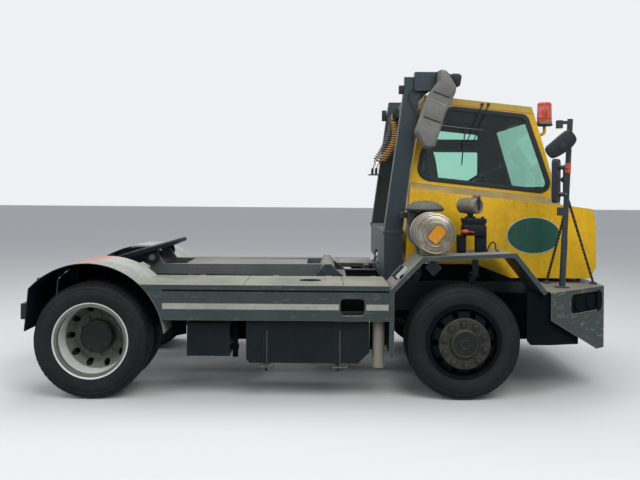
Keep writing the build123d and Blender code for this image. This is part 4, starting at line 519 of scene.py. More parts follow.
def box(bm, x, y, z, edge=0.0):
    """A box between low and high X, Y and Z."""
    middle = Vector((x[0] + x[1], y[0] + y[1], z[0] + z[1])) / 2
    size = Matrix.Diagonal((abs(x[1] - x[0]), abs(y[1] - y[0]), abs(z[1] - z[0]), 1))
    made = bmesh.ops.create_cube(bm, size=1, matrix=Matrix.Translation(middle) @ size)["verts"]
    if edge:
        rounded(bm, made, edge)


def bar(bm, start, end, radius, sides=20, edge=0.0):
    """A round bar between two points."""
    start, end = Vector(start), Vector(end)
    turn = (end - start).to_track_quat("Z", "Y").to_matrix().to_4x4()
    made = bmesh.ops.create_cone(bm, cap_ends=True, segments=sides, radius1=radius, radius2=radius,
                                 depth=(end - start).length,
                                 matrix=Matrix.Translation((start + end) / 2) @ turn)["verts"]
    if edge:
        rounded(bm, made, edge, 60)


def ball(bm, centre, radius, scale=(1, 1, 1)):
    """A ball, or one squeezed along the axes."""
    bmesh.ops.create_uvsphere(bm, u_segments=20, v_segments=12, radius=radius,
                              matrix=Matrix.Translation(centre) @ Matrix.Diagonal((*scale, 1)))


def circle(centre, radius, turns):
    """Points of a flat circle, as pairs, at the given turns in degrees."""
    return [(centre[0] + radius * math.cos(a), centre[1] + radius * math.sin(a))
            for a in map(math.radians, turns)]


def lathe(bm, profile, centre, direction, steps=48):
    """A turned shape; the profile is (along the axis, radius)."""
    axis = Vector(direction).normalized()
    across = axis.orthogonal().normalized()
    points = [bm.verts.new(Vector(centre) + axis * d + across * r) for d, r in profile]
    edges = [bm.edges.new(pair) for pair in zip(points, points[1:])]
    bmesh.ops.spin(bm, geom=points + edges, cent=centre, axis=axis, angle=math.tau, steps=steps,
                   use_merge=True, use_duplicate=False)
    bmesh.ops.remove_doubles(bm, verts=bm.verts, dist=0.01)


def outlined(bm, outline, corner, segments):
    """A flat face from points in space, its corners rounded."""
    face = bm.faces.new([bm.verts.new(Vector(p)) for p in outline])
    if corner:
        bevelled(bm, list(face.verts), corner, "VERTICES", segments)
        face = [f for f in bm.faces if f.is_valid and not any(len(e.link_faces) > 1 for e in f.edges)][-1]
    return face


def thickened(bm, faces, depth, edge):
    """Give a flat sheet the thickness of a vector, and round its edges."""
    made = bmesh.ops.extrude_face_region(bm, geom=faces)["geom"]
    moved = [g for g in made if isinstance(g, bmesh.types.BMVert)]
    bmesh.ops.translate(bm, verts=moved, vec=Vector(depth))
    whole = moved + list({v for f in faces for v in f.verts})
    bmesh.ops.recalc_face_normals(bm, faces=list({f for v in whole for f in v.link_faces}))
    if edge:
        rounded(bm, whole, edge, 50)


def prism(bm, outline, depth, corner=0.0, edge=0.0):
    """A plate: outline is a list of points in space, depth the vector it is thickened by."""
    thickened(bm, [outlined(bm, outline, corner, 5)], depth, edge)


def slab(bm, points, y, thick, corner=0.0, edge=0.0):
    """A plate from points in X and Z, at one Y and thickened along Y."""
    prism(bm, in_side(points, y), (0, thick, 0), corner, edge)


def seal(bm, outline, depth, width, corner):
    """A frame of rubber round a window: its outer outline, thickness and width."""
    face = outlined(bm, outline, corner, 6)
    ring = bmesh.ops.inset_region(bm, faces=[face], thickness=width, use_boundary=True,
                                  use_even_offset=True)["faces"]
    bmesh.ops.delete(bm, geom=[face], context="FACES_ONLY")
    thickened(bm, ring, depth, RUBBER_EDGE)


def in_side(points, y):
    """Points in X and Z set at one Y."""
    return [(px, y, pz) for px, pz in points]


def oval(centre, first, second, steps=48):
    """Points of an ellipse from its two half axes."""
    return [Vector(centre) + Vector(first) * c + Vector(second) * s
            for c, s in circle((0, 0), 1, (360 * i / steps for i in range(steps)))]


def grown(points, by):
    """A closed outline of (across, up) pairs moved outwards by a distance."""
    pairs = list(zip(points, points[1:] + points[:1]))
    way = 1 if sum(a[0] * b[1] - b[0] * a[1] for a, b in pairs) > 0 else -1
    lines = []
    for a, b in pairs:
        run = Vector((b[0] - a[0], b[1] - a[1])).normalized()
        lines.append((Vector(a) + Vector((run.y, -run.x)) * by * way, run))
    return [tuple(p + u * ((q - p).cross(v) / u.cross(v)))
            for (p, u), (q, v) in zip(lines[-1:] + lines[:-1], lines)]


def smoothed(points):
    """A closed outline with its corners cut twice."""
    for _ in range(2):
        pairs = list(zip(points, points[1:] + points[:1]))
        points = [tuple(p + (q - p) * t for p, q in zip(a, b)) for a, b in pairs for t in (0.25, 0.75)]
    return points


def slotted(finish):
    """The record's slot for a finish."""
    if finish in SLOTS:
        return finish
    return next(slot for slot, finishes in NEAR_SLOTS.items() if finish in finishes)


def riding(name, data, finish, body):
    """A new piece in its finish that rides on a body."""
    data.materials.append(FINISHES[finish])
    piece = bpy.data.objects.new(name, data)
    bpy.context.scene.collection.objects.link(piece)
    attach(piece, body)
    slotted(finish)
    return piece


def finished(name, bm, finish, body="chassis", replaces=(), scale=MM):
    """Turn a shape into a piece, smooth where it isn't sharp, that rides on a body."""
    bmesh.ops.scale(bm, vec=(scale, scale, scale), verts=bm.verts)
    bm.normal_update()
    for face in bm.faces:
        face.smooth = True
    for edge in bm.edges:
        edge.smooth = len(edge.link_faces) == 2 and math.degrees(edge.calc_face_angle(0)) < SHARP_ANGLE
    mesh = bpy.data.meshes.new(name)
    bm.to_mesh(mesh)
    bm.free()
    piece = riding(name, mesh, finish, body)
    if replaces:
        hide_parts(*replaces)
    return piece


def built(name, finish, *shapes, body="chassis", replaces=()):
    """A piece of one or more shapes, each given as its maker and what that takes."""
    bm = bmesh.new()
    for make, *values in shapes:
        make(bm, *values)
    return finished(name, bm, finish, body, replaces)


def merged(node):
    """A packed node's mesh, its doubles merged and its flat triangles joined."""
    bm = bmesh.new()
    bm.from_mesh(NODES[node].data)
    bmesh.ops.remove_doubles(bm, verts=bm.verts, dist=2e-5)
    bmesh.ops.dissolve_limit(bm, angle_limit=math.radians(1.0), verts=bm.verts, edges=bm.edges)
    return bm


def dressed(node, finish, edge=None, angle=30):
    """A copy of a packed node with joined flats and rounded edges, which stands for it."""
    piece = finished(node + "_skin", merged(node), finish, BODY_OF[node], (node,), scale=1)
    bevel = piece.modifiers.new("Edges", "BEVEL")
    bevel.width = edge or bpy.context.scene.tractor_sizes.edge
    bevel.segments = 2
    bevel.limit_method = "ANGLE"
    bevel.angle_limit = math.radians(angle)
    bevel.harden_normals = True
    return piece


def paint(piece, finish, rule):
    """Give the faces that a rule picks, by middle in millimetres and normal, another finish."""
    piece.data.materials.append(FINISHES[finish])
    index = len(piece.data.materials) - 1
    for face in piece.data.polygons:
        if rule(face.center / MM, face.normal):
            face.material_index = index


def smooth_line(name, points, radius, finish, body="chassis", order_u=3, steps=2, sides=2):
    """A round line through points, all in metres, that rides on a body."""
    data = bpy.data.curves.new(name, "CURVE")
    data.dimensions = "3D"
    data.bevel_depth = radius
    data.bevel_resolution = sides
    data.resolution_u = steps
    data.use_fill_caps = True
    line = data.splines.new("NURBS")
    line.points.add(len(points) - 1)
    for point, place in zip(line.points, points):
        point.co = (*place, 1)
    line.order_u = order_u
    line.use_endpoint_u = True
    return riding(name, data, finish, body)


def cable(name, points, radius, body="chassis", finish="black_plastic"):
    """A fixed pipe or cable through points in millimetres."""
    smooth_line(name, [[c * MM for c in p] for p in points], radius * MM, finish, body, 4, 8, 3)


# Wheels
def tyre(bm, x, y):
    """One tyre: ribbed tread, shoulder lugs and rings on its walls."""
    centre = (x, y, WHEEL_Z)
    wall = [(-96, 287), (-110, 290), (-124, 303), (-132, 312), (-137, 316), (-141, 328), (-146.5, 352),
            (-147.6, 370), (-146.4, 388), (-142, 406), (-139, 409), (-138.5, 414), (-140, 418), (-134, 432),
            (-126, 443), (-118, 449), (-84, 455)]
    tread = [(-82, 455), (-80, 465.2), (-49, 466.4), (-47, 455), (-40, 455), (-38, 466.6), (-5, 467),
             (-3, 456)]
    half = wall + tread
    lathe(bm, half + [(-d, r) for d, r in reversed(half)] + [(88, 284), (-88, 284), (-96, 287)], centre,
          (0, 1, 0), 96)
    for i in range(LUGS):
        for side in (-1, 1):
            turn = Matrix.Translation(centre) @ Matrix.Rotation((i + 0.25 * side) * math.tau / LUGS, 4, "Y")
            lean = Matrix.Rotation(-side * math.radians(17), 4, "X")
            size = Matrix.Diagonal((43, 44, 16, 1))
            spot = Matrix.Translation((0, side * 103, 451))
            made = bmesh.ops.create_cube(bm, size=1, matrix=turn @ spot @ lean @ size)["verts"]
            rounded(bm, made, 2.0, segments=1)


def make_tyres():
    """The six tyres."""
    for side, word in SIDES:
        built(f"front_tread_tyre_{word}", "tyre_rubber",
              (tyre, FRONT_AXLE_X, side * FRONT_WHEEL_Y),
              body=f"front_wheel_{word}", replaces=(f"front_tyre_{word}",))
        bm = bmesh.new()
        for row in (0, 1):
            tyre(bm, REAR_AXLE_X, side * (REAR_OUTER_Y - row * DUAL_SPACING))
        finished(f"rear_tread_tyres_{word}", bm, "tyre_rubber", f"rear_wheels_{word}",
                 (f"rear_tyres_{word}",))


def bolts(bm, axle_x, radius, turns, y, size, sides, edge=0.0):
    """Bolts or bosses on a circle round a hub, between two Y."""
    for x, z in circle((axle_x, WHEEL_Z), radius, turns):
        bar(bm, (x, y[0], z), (x, y[1], z), size, sides, edge)


def make_rims():
    """Rims from the packed solids, with hubs, nuts, lips and brake shields."""
    for side, word in SIDES:
        out = (0, side, 0)
        # The whole front rim is near-black: painted shade in its deep dish
        dressed(f"front_rim_{word}", "underside", 0.002, 35)
        axle, wheel = (FRONT_AXLE_X, 0, WHEEL_Z), f"front_wheel_{word}"
        nuts = range(22, 360, 36)
        built(f"front_hub_plate_{word}", "hub_plate",
              (lathe, [(1208, 121), (1217, 121), (1217, 200), (1213, 206), (1208, 206), (1208, 121)], axle,
               out, 72),
              (lathe, [(1232, 96), (1240, 99), (1240, 105), (1232, 108), (1232, 96)], axle, out),
              (lathe, [(1234, 30), (1240, 33), (1240, 37), (1234, 40), (1234, 30)], axle, out),
              (bolts, FRONT_AXLE_X, NUT_CIRCLE, nuts, (side * 1216, side * 1242), 17, 6, 2), body=wheel)
        # The 27 mm black discs round the front nuts are painted shade: the dark ring round each nut
        built(f"front_hub_{word}", "black_rim",
              (lathe, [(1200, 0), (1200, 122), (1230, 118), (1237, 108), (1237, 0)], axle, out, 64),
              (bolts, FRONT_AXLE_X, NUT_CIRCLE, nuts, (side * 1212, side * 1239.5), 27, 24), body=wheel)
        dressed(f"rear_rims_{word}", "rim_disc", 0.002, 35)
        axle, wheel = (REAR_AXLE_X, 0, WHEEL_Z), f"rear_wheels_{word}"
        built(f"rear_rim_lip_{word}", "silver_rim",
              (lathe, [(1024, 262), (1130, 268), (1186, 274), (1200, 279), (1205, 287), (1211, 291),
                       (1219, 295), (1224, 301), (1224, 306), (1217, 308), (1208, 301), (1196, 290),
                       (1184, 281), (1024, 269), (1024, 262)], axle, out, 96), body=wheel)
        built(f"rear_hub_{word}", "black_rim",
              (lathe, [(950, 0), (950, 132), (1040, 132), (1050, 125), (1053, 112), (1053, 0)], axle, out, 64),
              (bolts, REAR_AXLE_X, HUB_CIRCLE, range(10, 360, 45), (side * 1050, side * 1060), 9, 6),
              body=wheel)
        # Dark shields of the brakes behind the hand holes, near-black as painted shade seen through the holes
        for x, y, body in ((FRONT_AXLE_X, 1100, "front_wheel"), (REAR_AXLE_X, 815, "rear_wheels")):
            built(f"{body}_shield_{word}", "underside",
                  (lathe, [(0, 190), (0, 264), (4, 266), (8, 264), (8, 190), (0, 190)],
                   (x, side * y, WHEEL_Z), out, 64), body=f"{body}_{word}")


# Frame, decks and fenders
def make_frame():
    """Rails, axles, engine and what hangs below, with sheets between the rear wheels and the rails."""
    dressed("chassis_frame", "chassis_paint")
    for node in ("drive_train", "rear_axle", "front_axle"):
        dressed(node, "cast_metal")
    for node in ("tie_rod", "knuckle_right", "knuckle_left"):
        dressed(node, "cast_metal", 0.002)
    piece = dressed("side_boxes", "black_paint")
    paint(piece, "filter_skin", lambda c, n: math.hypot(c.x - 520, c.y + 1120) < 62 and c.z < 600)
    for side, word in SIDES:
        # Near-black sheet just inside the inner tyres: painted shade between the wheels and the rails
        bm = bmesh.new()
        ring = circle(ARCH, 613, range(0, 139, 6)) + [(-2298, 552)] + circle(ARCH, 300, range(168, -1, -6))
        slab(bm, ring, side * 578, side * 4)
        finished(f"rear_splash_sheet_{word}", bm, "underside")


def make_decks():
    """Tread decks with dark beams and a worn pale stripe along them."""
    for side, word in SIDES:
        face = side * BEAM_FACE_Y
        piece = dressed(f"side_deck_{word}", "beam_paint", 0.003)
        paint(piece, "deck_plate", lambda c, n: n.z > 0.7 and c.z > 900)
        piece = dressed(f"front_fender_{word}", "deck_plate", 0.003)
        paint(piece, "beam_paint", lambda c, n: abs(n.y) > 0.7 or n.z < -0.3)
        piece = dressed(f"rear_fender_{word}", "fender_steel", 0.003)
        # Faces turned towards the wheel are near-black: painted shade inside the arch
        paint(piece, "underside", lambda c, n: abs(n.y) < 0.5
              and n.x * (c.x - ARCH[0]) + n.z * (c.z - ARCH[1]) < 0)
        paint(piece, "black_paint", lambda c, n: abs(n.y) > 0.5)
        bm = bmesh.new()
        for low, high in ((-1215, 195), (412, 590)):
            slab(bm, [(low, 733), (high, 733), (high, 781), (low, 781)], face, side * 1.6)
        finished(f"beam_stripe_{word}", bm, "stripe_grey")
        bm = bmesh.new()
        slab(bm, [(-1215, 876), (590, 876), (590, 890), (-1215, 890)], face, side * 1.2)
        for x in (-570, 232):
            box(bm, (x - 2, x + 2), (side * 606, side * 1246), (DECK_TOP_Z, DECK_TOP_Z + 1.7))
        prism(bm, oval((-40, side * 898, DECK_TOP_Z + 0.5), (94, 0, 0), (0, 78, 0)), (0, 0, 1.5))
        finished(f"deck_gaps_{word}", bm, "underside")


def make_bumper():
    """Front bumper with its slanted corner plates, and the splash sheets behind them."""
    dressed("front_bumper", "bumper_steel", 0.003)
    for side, word in SIDES:
        # Near-black sheets behind the corner plates: painted shade
        built(f"front_splash_sheet_{word}", "underside",
              (slab, [(1708, 884), (1888, 884), (1888, 457), (1738, 457), (1708, 490)], side * 1186, side * 4),
              (prism, [(1888, side * 1186, 720), (2210, side * 920, 720), (2210, side * 920, 414),
                       (1888, side * 1186, 457)], (3, side * 4, 0)),
              (slab, [(1590, 790), (1900, 790), (1900, 380), (1690, 380), (1610, 480)], side * 560, side * 4))
        # Black surround that widens the lamp opening towards the middle, in the corner plate's slant: a
        # near-black patch of painted shade from the dark hole
        ahead, aside = 0.771, 0.636
        bm = bmesh.new()
        surround = [(683, 674), (715, 674), (742, 690), (758, 722), (760, 790), (752, 826), (732, 848),
                    (683, 856)]
        prism(bm, [(1885 + t * ahead, side * (1250 - t * aside), z) for t, z in surround],
              (2.5 * aside, side * 2.5 * ahead, 0))
        finished(f"head_lamp_surround_{word}", bm, "underside")


# Tower with all it carries
def make_tower():
    """Posts, base wall, hood, boxes and hose shelf."""
    dressed("tower", "chassis_paint", 0.003)
    dressed("hose_shelf", "chassis_paint", 0.002)
    piece = dressed("intake_hood", "grey_plastic", 0.014, 40)
    paint(piece, "black_plastic", lambda c, n: c.y > -599)
    panels = [[(1002, 2551), (1148, 2492), (1187, 2546), (1195, 2592), (1114, 2719), (1068, 2724), (1070, 2632)],
              [(965, 2477), (922, 2331), (1076, 2276), (1102, 2352), (1130, 2414)],
              [(896, 2266), (874, 2202), (940, 2078), (977, 2064), (1016, 2077), (1054, 2206)]]
    piece = built("hood_panels", "grey_plastic", *((slab, outline, -749, -13, 0, 5) for outline in panels))
    # Downward faces of the panels get the dark rubber: painted shade under each panel's lower edge
    paint(piece, "cap_rubber", lambda c, n: n.z < -0.35)
    # Pale strips along the top edges of the lower two panels: painted highlights where each step catches the
    # light
    bm = bmesh.new()
    for x, z, x2, z2 in ((978, 2486, 1122, 2424), (908, 2269, 1046, 2211)):
        slab(bm, [(x, z), (x2, z2), (x2, z2 - 7), (x, z - 7)], -758, -6.5)
    finished("hood_ribs", bm, "fender_steel")
    built("post_sockets", "black_plastic",
          (box, (735, 784), (-540, -480), (2555, 2628), 4),
          (box, (715, 764), (1024, 1084), (2454, 2570), 4))
    built("hood_lamp", "black_plastic",
          (slab, [(1150, 2700), (1192, 2714), (1240, 2712), (1264, 2694), (1250, 2608), (1228, 2600),
                  (1180, 2650)], -700, 84, 0, 8))
    cable("hood_lamp_cable", [(1040, -640, 2700), (1046, -652, 2737), (1090, -660, 2738), (1130, -660, 2735),
                              (1180, -660, 2700)], 4)
    cable("post_lamp_cable", [(898, -600, 2611), (832, -585, 2590), (806, -580, 2522), (845, -585, 2449),
                              (905, -600, 2345), (940, -615, 2290)], 4)
    built("head_gusset", "chassis_paint",
          (slab, [(835, 2622), (1050, 2632), (1046, 2600), (995, 2567), (965, 2545), (883, 2455), (856, 2400),
                  (835, 2400)], -552, 14, 0, 3))


def make_muffler():
    """Muffler drum with bands and its blank orange plate."""
    piece = dressed("muffler", "stainless", 0.004)
    # Sides and bottom of the drum are darker and duller than the end face: painted shade, with brown wear on the
    # edges
    paint(piece, "drum_side", lambda c, n: abs(n.y) < 0.6 or c.z < 1175)
    beads = ((-1232, 99, 5), (-1222, 154, 6), (-1150, 162, 5), (-1040, 162, 5), (-900, 162, 5))
    built("muffler_beads", "stainless",
          *((lathe, circle((y, radius), thick, range(0, 361, 45)), (965, 0, 1345), (0, 1, 0), 64)
            for y, radius, thick in beads))
    built("muffler_tag", "tag_orange",
          (slab, [(895, 1317), (968, 1262), (1044, 1351), (1037, 1383), (999, 1416), (966, 1414)], -1234.5,
           -2.5))
    built("muffler_tag_edge", "seal_rubber",
          (slab, [(889, 1317), (968, 1255), (1050, 1351), (1042, 1386), (1001, 1422), (963, 1420)], -1233.8,
           -1.6))


def make_carried_boxes():
    """Air cleaner, reservoir, tank and boom parts."""
    dressed("air_cleaner", "cap_rubber", 0.004)
    bm = bmesh.new()
    for leg, wide in ((1205, 66), (1358, 86)):
        box(bm, (leg, leg + wide), (-905, -815), (1152, 1320), 4)
    box(bm, (1246, 1436), (-940, -780), (1316, 1400), 5)
    box(bm, (1254, 1428), (-932, -788), (1398, 1424), 4)
    box(bm, (1246, 1436), (-940, -780), (1422, 1461), 5)
    for x in (1265, 1330, 1402):
        bar(bm, (x, -930, 1455), (x, -930, 1478), 14, 6)
    box(bm, (1290, 1330), (-900, -830), (1455, 1515), 4)
    finished("reservoir_block", bm, "black_paint", replaces=("reservoir_unit",))
    bm = bmesh.new()
    start, way = Vector((1249, -778, 1566)), Vector((0.6, -0.8, 0))
    lathe(bm, [(0, 0), (0, 58), (10, 66), (60, 66), (61, 69), (72, 69), (73, 66), (128, 66), (129, 69),
               (140, 69), (141, 66), (186, 66), (194, 61), (196, 56), (196, 50), (191, 48), (191, 0)], start,
          way)
    bar(bm, (1355, -905, 1600), (1355, -905, 1646), 27, 24)
    finished("reservoir_barrel", bm, "bare_metal")
    built("reservoir_cap", "rust_cap", (bar, (1355, -905, 1642), (1355, -905, 1662), 33, 24, 4))
    built("reservoir_strap", "black_plastic",
          (prism, [start + way * 197 + Vector(corner)
                   for corner in ((0, 0, -48), (-14, -10, 72), (14, 10, 72), (18, 13, -10))], way * 3))
    built("valve_lever", "red_plastic",
          (ball, (1250, -962, 1352), 38, (1, 0.4, 0.48)),
          (bar, (1280, -962, 1352), (1330, -938, 1345), 6, 12))
    cable("reservoir_loop", [(1448, -900, 1180), (1452, -900, 1200), (1474, -900, 1256), (1504, -900, 1268),
                             (1530, -900, 1228), (1512, -900, 1192), (1548, -900, 1186)], 6)
    dressed("fuel_tank", "black_paint", 0.006)
    bm = bmesh.new()
    for x in (-381, 206):
        bar(bm, (x, -1191, 560), (x, -1191, 286), 4, 10)
        bar(bm, (x - 62, -1180, 262), (x + 62, -1180, 262), 8, 12)
        for end in (x - 54, x + 54):
            bar(bm, (end, -1180, 262), (end, -1180, 284), 8, 12)
        bar(bm, (x, -1180, 290), (x, -1180, 262), 10, 12)
    finished("tank_hooks", bm, "hook_metal")
    # Dark hanger and sheets between the boxes under the right deck: a hanger, and near-black sheets of painted
    # shade under the deck
    built("under_deck_hangers", "underside",
          (box, (-668, -628), (-1080, -1030), (318, 640), 4),
          (box, (-730, -520), (-760, -756), (400, 640)),
          (box, (-740, -620), (-1072, -1040), (380, 420), 4),
          (slab, [(-1250, 640), (-1080, 640), (-1080, 470), (-1180, 450), (-1250, 520)], -900, 5),
          (slab, [(470, 640), (640, 640), (640, 400), (560, 330), (470, 330)], -800, 5))
    dressed("lift_boom", "boom_paint")
    dressed("lift_barrels", "black_paint", 0.002)
    dressed("lift_rods", "chrome_rod", 0.001)
    dressed("fifth_wheel", "grease", 0.004)


def make_lamps():
    """Head lamps, work lamps, rear lamp bars and the beacon."""
    piece = dressed("lamps", "black_plastic", 0.003)
    # The lamp housing ahead of X 2000 is near-black: painted shade inside the head lamp holes
    paint(piece, "underside", lambda c, n: c.x > 2000)
    bm = bmesh.new()
    for side in (RIGHT, LEFT):
        out = Vector((0.637, side * 0.771, 0))
        along = Vector((0.771, -side * 0.637, 0))
        for shift in (-95, 80):
            lens = Vector((2242.5, side * 890, 766)) + along * shift - out * 16
            lathe(bm, [(0, 0), (0, 56), (3, 61), (6, 58), (9, 40), (10, 0)], lens, out, 40)
    finished("head_lamp_lenses", bm, "dark_lens")
    built("square_lamp", "black_plastic",
          (slab, [(950, 1143), (1018, 1075), (950, 1007), (882, 1075)], -1168, -56, 8, 5))
    built("square_lamp_lens", "dark_lens",
          (slab, [(950, 1128), (1003, 1075), (950, 1022), (897, 1075)], -1224, -3, 6))
    built("square_lamp_ring", "chrome_rod",
          (lathe, [(-5, 15), (0, 10), (5, 15), (0, 20), (-5, 15)], (900, -1232, 1128), (0, 1, 0), 24))
    built("work_lamp_lens", "lamp_glass",
          (prism, [(664, -1210, 985), (745, -1210, 1068), (724, -1210, 1088), (643, -1210, 1005)], (0, -3, 0),
           5))
    body, up, axle = BODY_OF["beacon"], (0, 0, 1), (*BEACON, 0)
    bm = bmesh.new()
    lathe(bm, [(2318, 0), (2318, 65), (2326, 66), (2478, 62), (2492, 58), (2498, 48), (2499, 0)], axle, up)
    for z in (2352, 2478):
        lathe(bm, [(z - 4, 60), (z, 68 - (z - 2352) / 30), (z + 4, 60), (z - 4, 60)], axle, up)
    finished("beacon_lens", bm, "amber_plastic", body, ("beacon",))
    built("beacon_core", "black_plastic",
          (lathe, [(2284, 0), (2284, 66), (2289, 72), (2299, 72), (2301, 60), (2301, 0)], axle, up),
          (bar, (*BEACON, 2330), (*BEACON, 2425), 27, 24, 4), body=body)
    built("beacon_ring", "bare_metal",
          (lathe, [(2301, 0), (2301, 69), (2317, 69), (2319, 64), (2319, 0)], axle, up), body=body)
    cable("beacon_stem", [(2004, -430, 2200), (2030, -430, 2203), (2060, -430, 2212), (2066, -430, 2240),
                          (*BEACON, 2262), (*BEACON, 2286)], 14, body, "cab_paint")


def make_mirrors():
    """Mirror post with its braces, the two mirrors and a reflector."""
    piece = dressed("mirror_post", "chassis_paint", 0.002)
    paint(piece, "taped_rod", lambda c, n: c.y > -868 and c.z > 906)
    body = BODY_OF["right_mirrors"]
    across, back, middle = Vector((0.5, 0.866, 0)), Vector((0.866, -0.5, 0)), Vector((1996, -1065, 1780))
    wide = smoothed([(1889, 2055), (1944, 2102), (1999, 2151), (2054, 2195), (2078, 2202), (2104, 2195),
                     (2143, 2146), (2149, 2112), (2109, 2055), (2038, 2004), (1968, 1966), (1936, 1969),
                     (1897, 2016)])
    built("mirror_shells", "black_plastic",
          (prism, [middle + across * (75 * a) + Vector((0, 0, 180.5 * b)) for a, b in CORNER_SIGNS],
           back * -45, 36, 9),
          (slab, wide, -1010, -46, 0, 12),
          (bar, (2031, -1050, 2061), (2031, -1063, 2061), 32, 32, 4), body=body, replaces=("right_mirrors",))
    built("mirror_stay", "black_plastic",
          (bar, (2030.6, -1085, 1650), (2030.6, -1085, 1910), 9, 16),
          (ball, (2032, -1072, 1790), 24), body=body)
    bm = bmesh.new()
    prism(bm, [middle - back * 44.5 + across * (66 * a) + Vector((0, 0, 171 * b)) for a, b in CORNER_SIGNS],
          back * -2, 30)
    centre = Vector((2020, -1010.5, 2085))
    prism(bm, [centre + (Vector((x, -1010.5, z)) - centre) * 0.88 for x, z in wide], (0, 2.5, 0))
    finished("mirror_faces", bm, "mirror_glass", body)
    built("post_reflector", "orange_lens",
          (bar, (2124, -895, 1851), (2127, -895, 1932), 25.5, 24), body=BODY_OF["mirror_post"])


# Cab
def make_cab():
    """Painted panels with dark trim inside, the blank sign and a wiper."""
    for node in ("cab_front", "cab_rear", "cab_side_right", "cab_side_left", "cab_roof", "left_door"):
        piece = dressed(node, "cab_paint", 0.006, 28)
        paint(piece, "cab_trim", lambda c, n: n.dot((c - INSIDE_CAB).normalized()) < -0.18)
    piece = dressed("cab_nose", "cab_paint", 0.006, 28)
    # Faces set back behind the nose front are near-black: painted shade in the recesses
    paint(piece, "underside", lambda c, n: c.x > 2440 and -250 < c.y < 860 and abs(n.x) > 0.9 and c.x < 2485)
    dressed("cab_floor", "black_paint", 0.004)
    built("sign_rim", "sign_white",
          (prism, oval((1938, -559.5, 1300), (240, 0, 0), (0, 0, 163), 72), (0, -2.5, 0)), body="cab")
    built("sign_plate", "sign_green",
          (prism, oval((1938, -561, 1300), (234, 0, 0), (0, 0, 157.5), 72), (0, -2.5, 0)), body="cab")
    bm = bmesh.new()
    y = GLASS_RIGHT_Y - 10
    bar(bm, (1485, y, 2468), (1342, y, 2110), 4.5, 10)
    bar(bm, (1541, y, 2463), (1398, y, 2112), 4.5, 10)
    for x in (1485, 1541):
        box(bm, (x - 11, x + 11), (y - 6, GLASS_RIGHT_Y + 1), (2454, 2482), 4)
    bar(bm, (1310, y, 2110), (1400, y, 2110), 5, 10)
    slab(bm, [(1328, 2250), (1338, 2250), (1310, 1925), (1300, 1925)], y, 8)
    finished("side_wiper", bm, "black_plastic", "cab")


def make_windows():
    """Tinted panes in black rubber."""
    width = bpy.context.scene.tractor_sizes.seal / MM
    for node in ("cab_glass", "door_glass"):
        finished(node + "_tint", merged(node), "green_glass", BODY_OF[node], (node,), scale=1)
    bm = bmesh.new()
    seal(bm, in_side(grown(SIDE_WINDOW, 22), GLASS_RIGHT_Y - 7), (0, 24, 0), width, 62)
    for low, high, share, short, half, out in (
            (BELT_FRONT, ROOF_FRONT, 0.49, 190, 706, 1), (BELT_REAR, ROOF_REAR, 0.48, 220, 676, -1)):
        low, high = map(Vector, in_side((low, high), CAB_MIDDLE_Y))
        up = (high - low).normalized()
        away = Vector((up.z, 0, -up.x)) * out
        tall = ((high - low).length - short) / 2 + 20
        middle = low + (high - low) * share + away * 6
        corners = [middle + Vector((0, (half + 20) * a, 0)) + up * tall * b for a, b in CORNER_SIGNS]
        seal(bm, corners, away * -22, width, 62)
    finished("cab_window_rubber", bm, "seal_rubber", "cab")
    bm = bmesh.new()
    for window in DOOR_WINDOWS:
        seal(bm, in_side(grown(window, 16), GLASS_LEFT_Y + 6), (0, -24, 0), 30, 44)
    finished("door_window_rubber", bm, "seal_rubber", "door")


def cushion(name, corners, depth, body):
    """A crowned pad: a rounded block between corners, swollen in its middle."""
    bm = bmesh.new()
    first, last = Vector(corners[0]), Vector(corners[2])
    middle = (first + last) / 2
    wide, long = ((Vector(corner) - first) / 2 for corner in (corners[1], corners[3]))
    sheets = []
    for swell in (0, 1):
        rows = []
        for i in range(PAD_STEPS + 1):
            rows.append([])
            for j in range(PAD_STEPS + 1):
                u, v = 2 * i / PAD_STEPS - 1, 2 * j / PAD_STEPS - 1
                rise = (1 - abs(u) ** 5) * (1 - abs(v) ** 5)
                tuck = 0.35 + 0.65 * rise ** 0.4 + 0.16 * (1 - u * u) * (1 - v * v)
                seam = 0.06 * math.exp(-(u / 0.05) ** 2)
                place = middle + wide * u + long * v + Vector(depth) * (tuck - seam) * swell
                rows[-1].append(bm.verts.new(place))
        sheets.append(rows)
    for rows in sheets:
        for i in range(PAD_STEPS):
            for j in range(PAD_STEPS):
                bm.faces.new([rows[i][j], rows[i + 1][j], rows[i + 1][j + 1], rows[i][j + 1]])
    there, back = range(PAD_STEPS), range(PAD_STEPS, 0, -1)
    rim = ([(i, 0) for i in there] + [(PAD_STEPS, j) for j in there]
           + [(i, PAD_STEPS) for i in back] + [(0, j) for j in back])
    for (a, b), (c, d) in zip(rim, rim[1:] + rim[:1]):
        bm.faces.new([sheets[0][a][b], sheets[0][c][d], sheets[1][c][d], sheets[1][a][b]])
    bmesh.ops.recalc_face_normals(bm, faces=bm.faces)
    finished(name, bm, "seat_cloth", body)


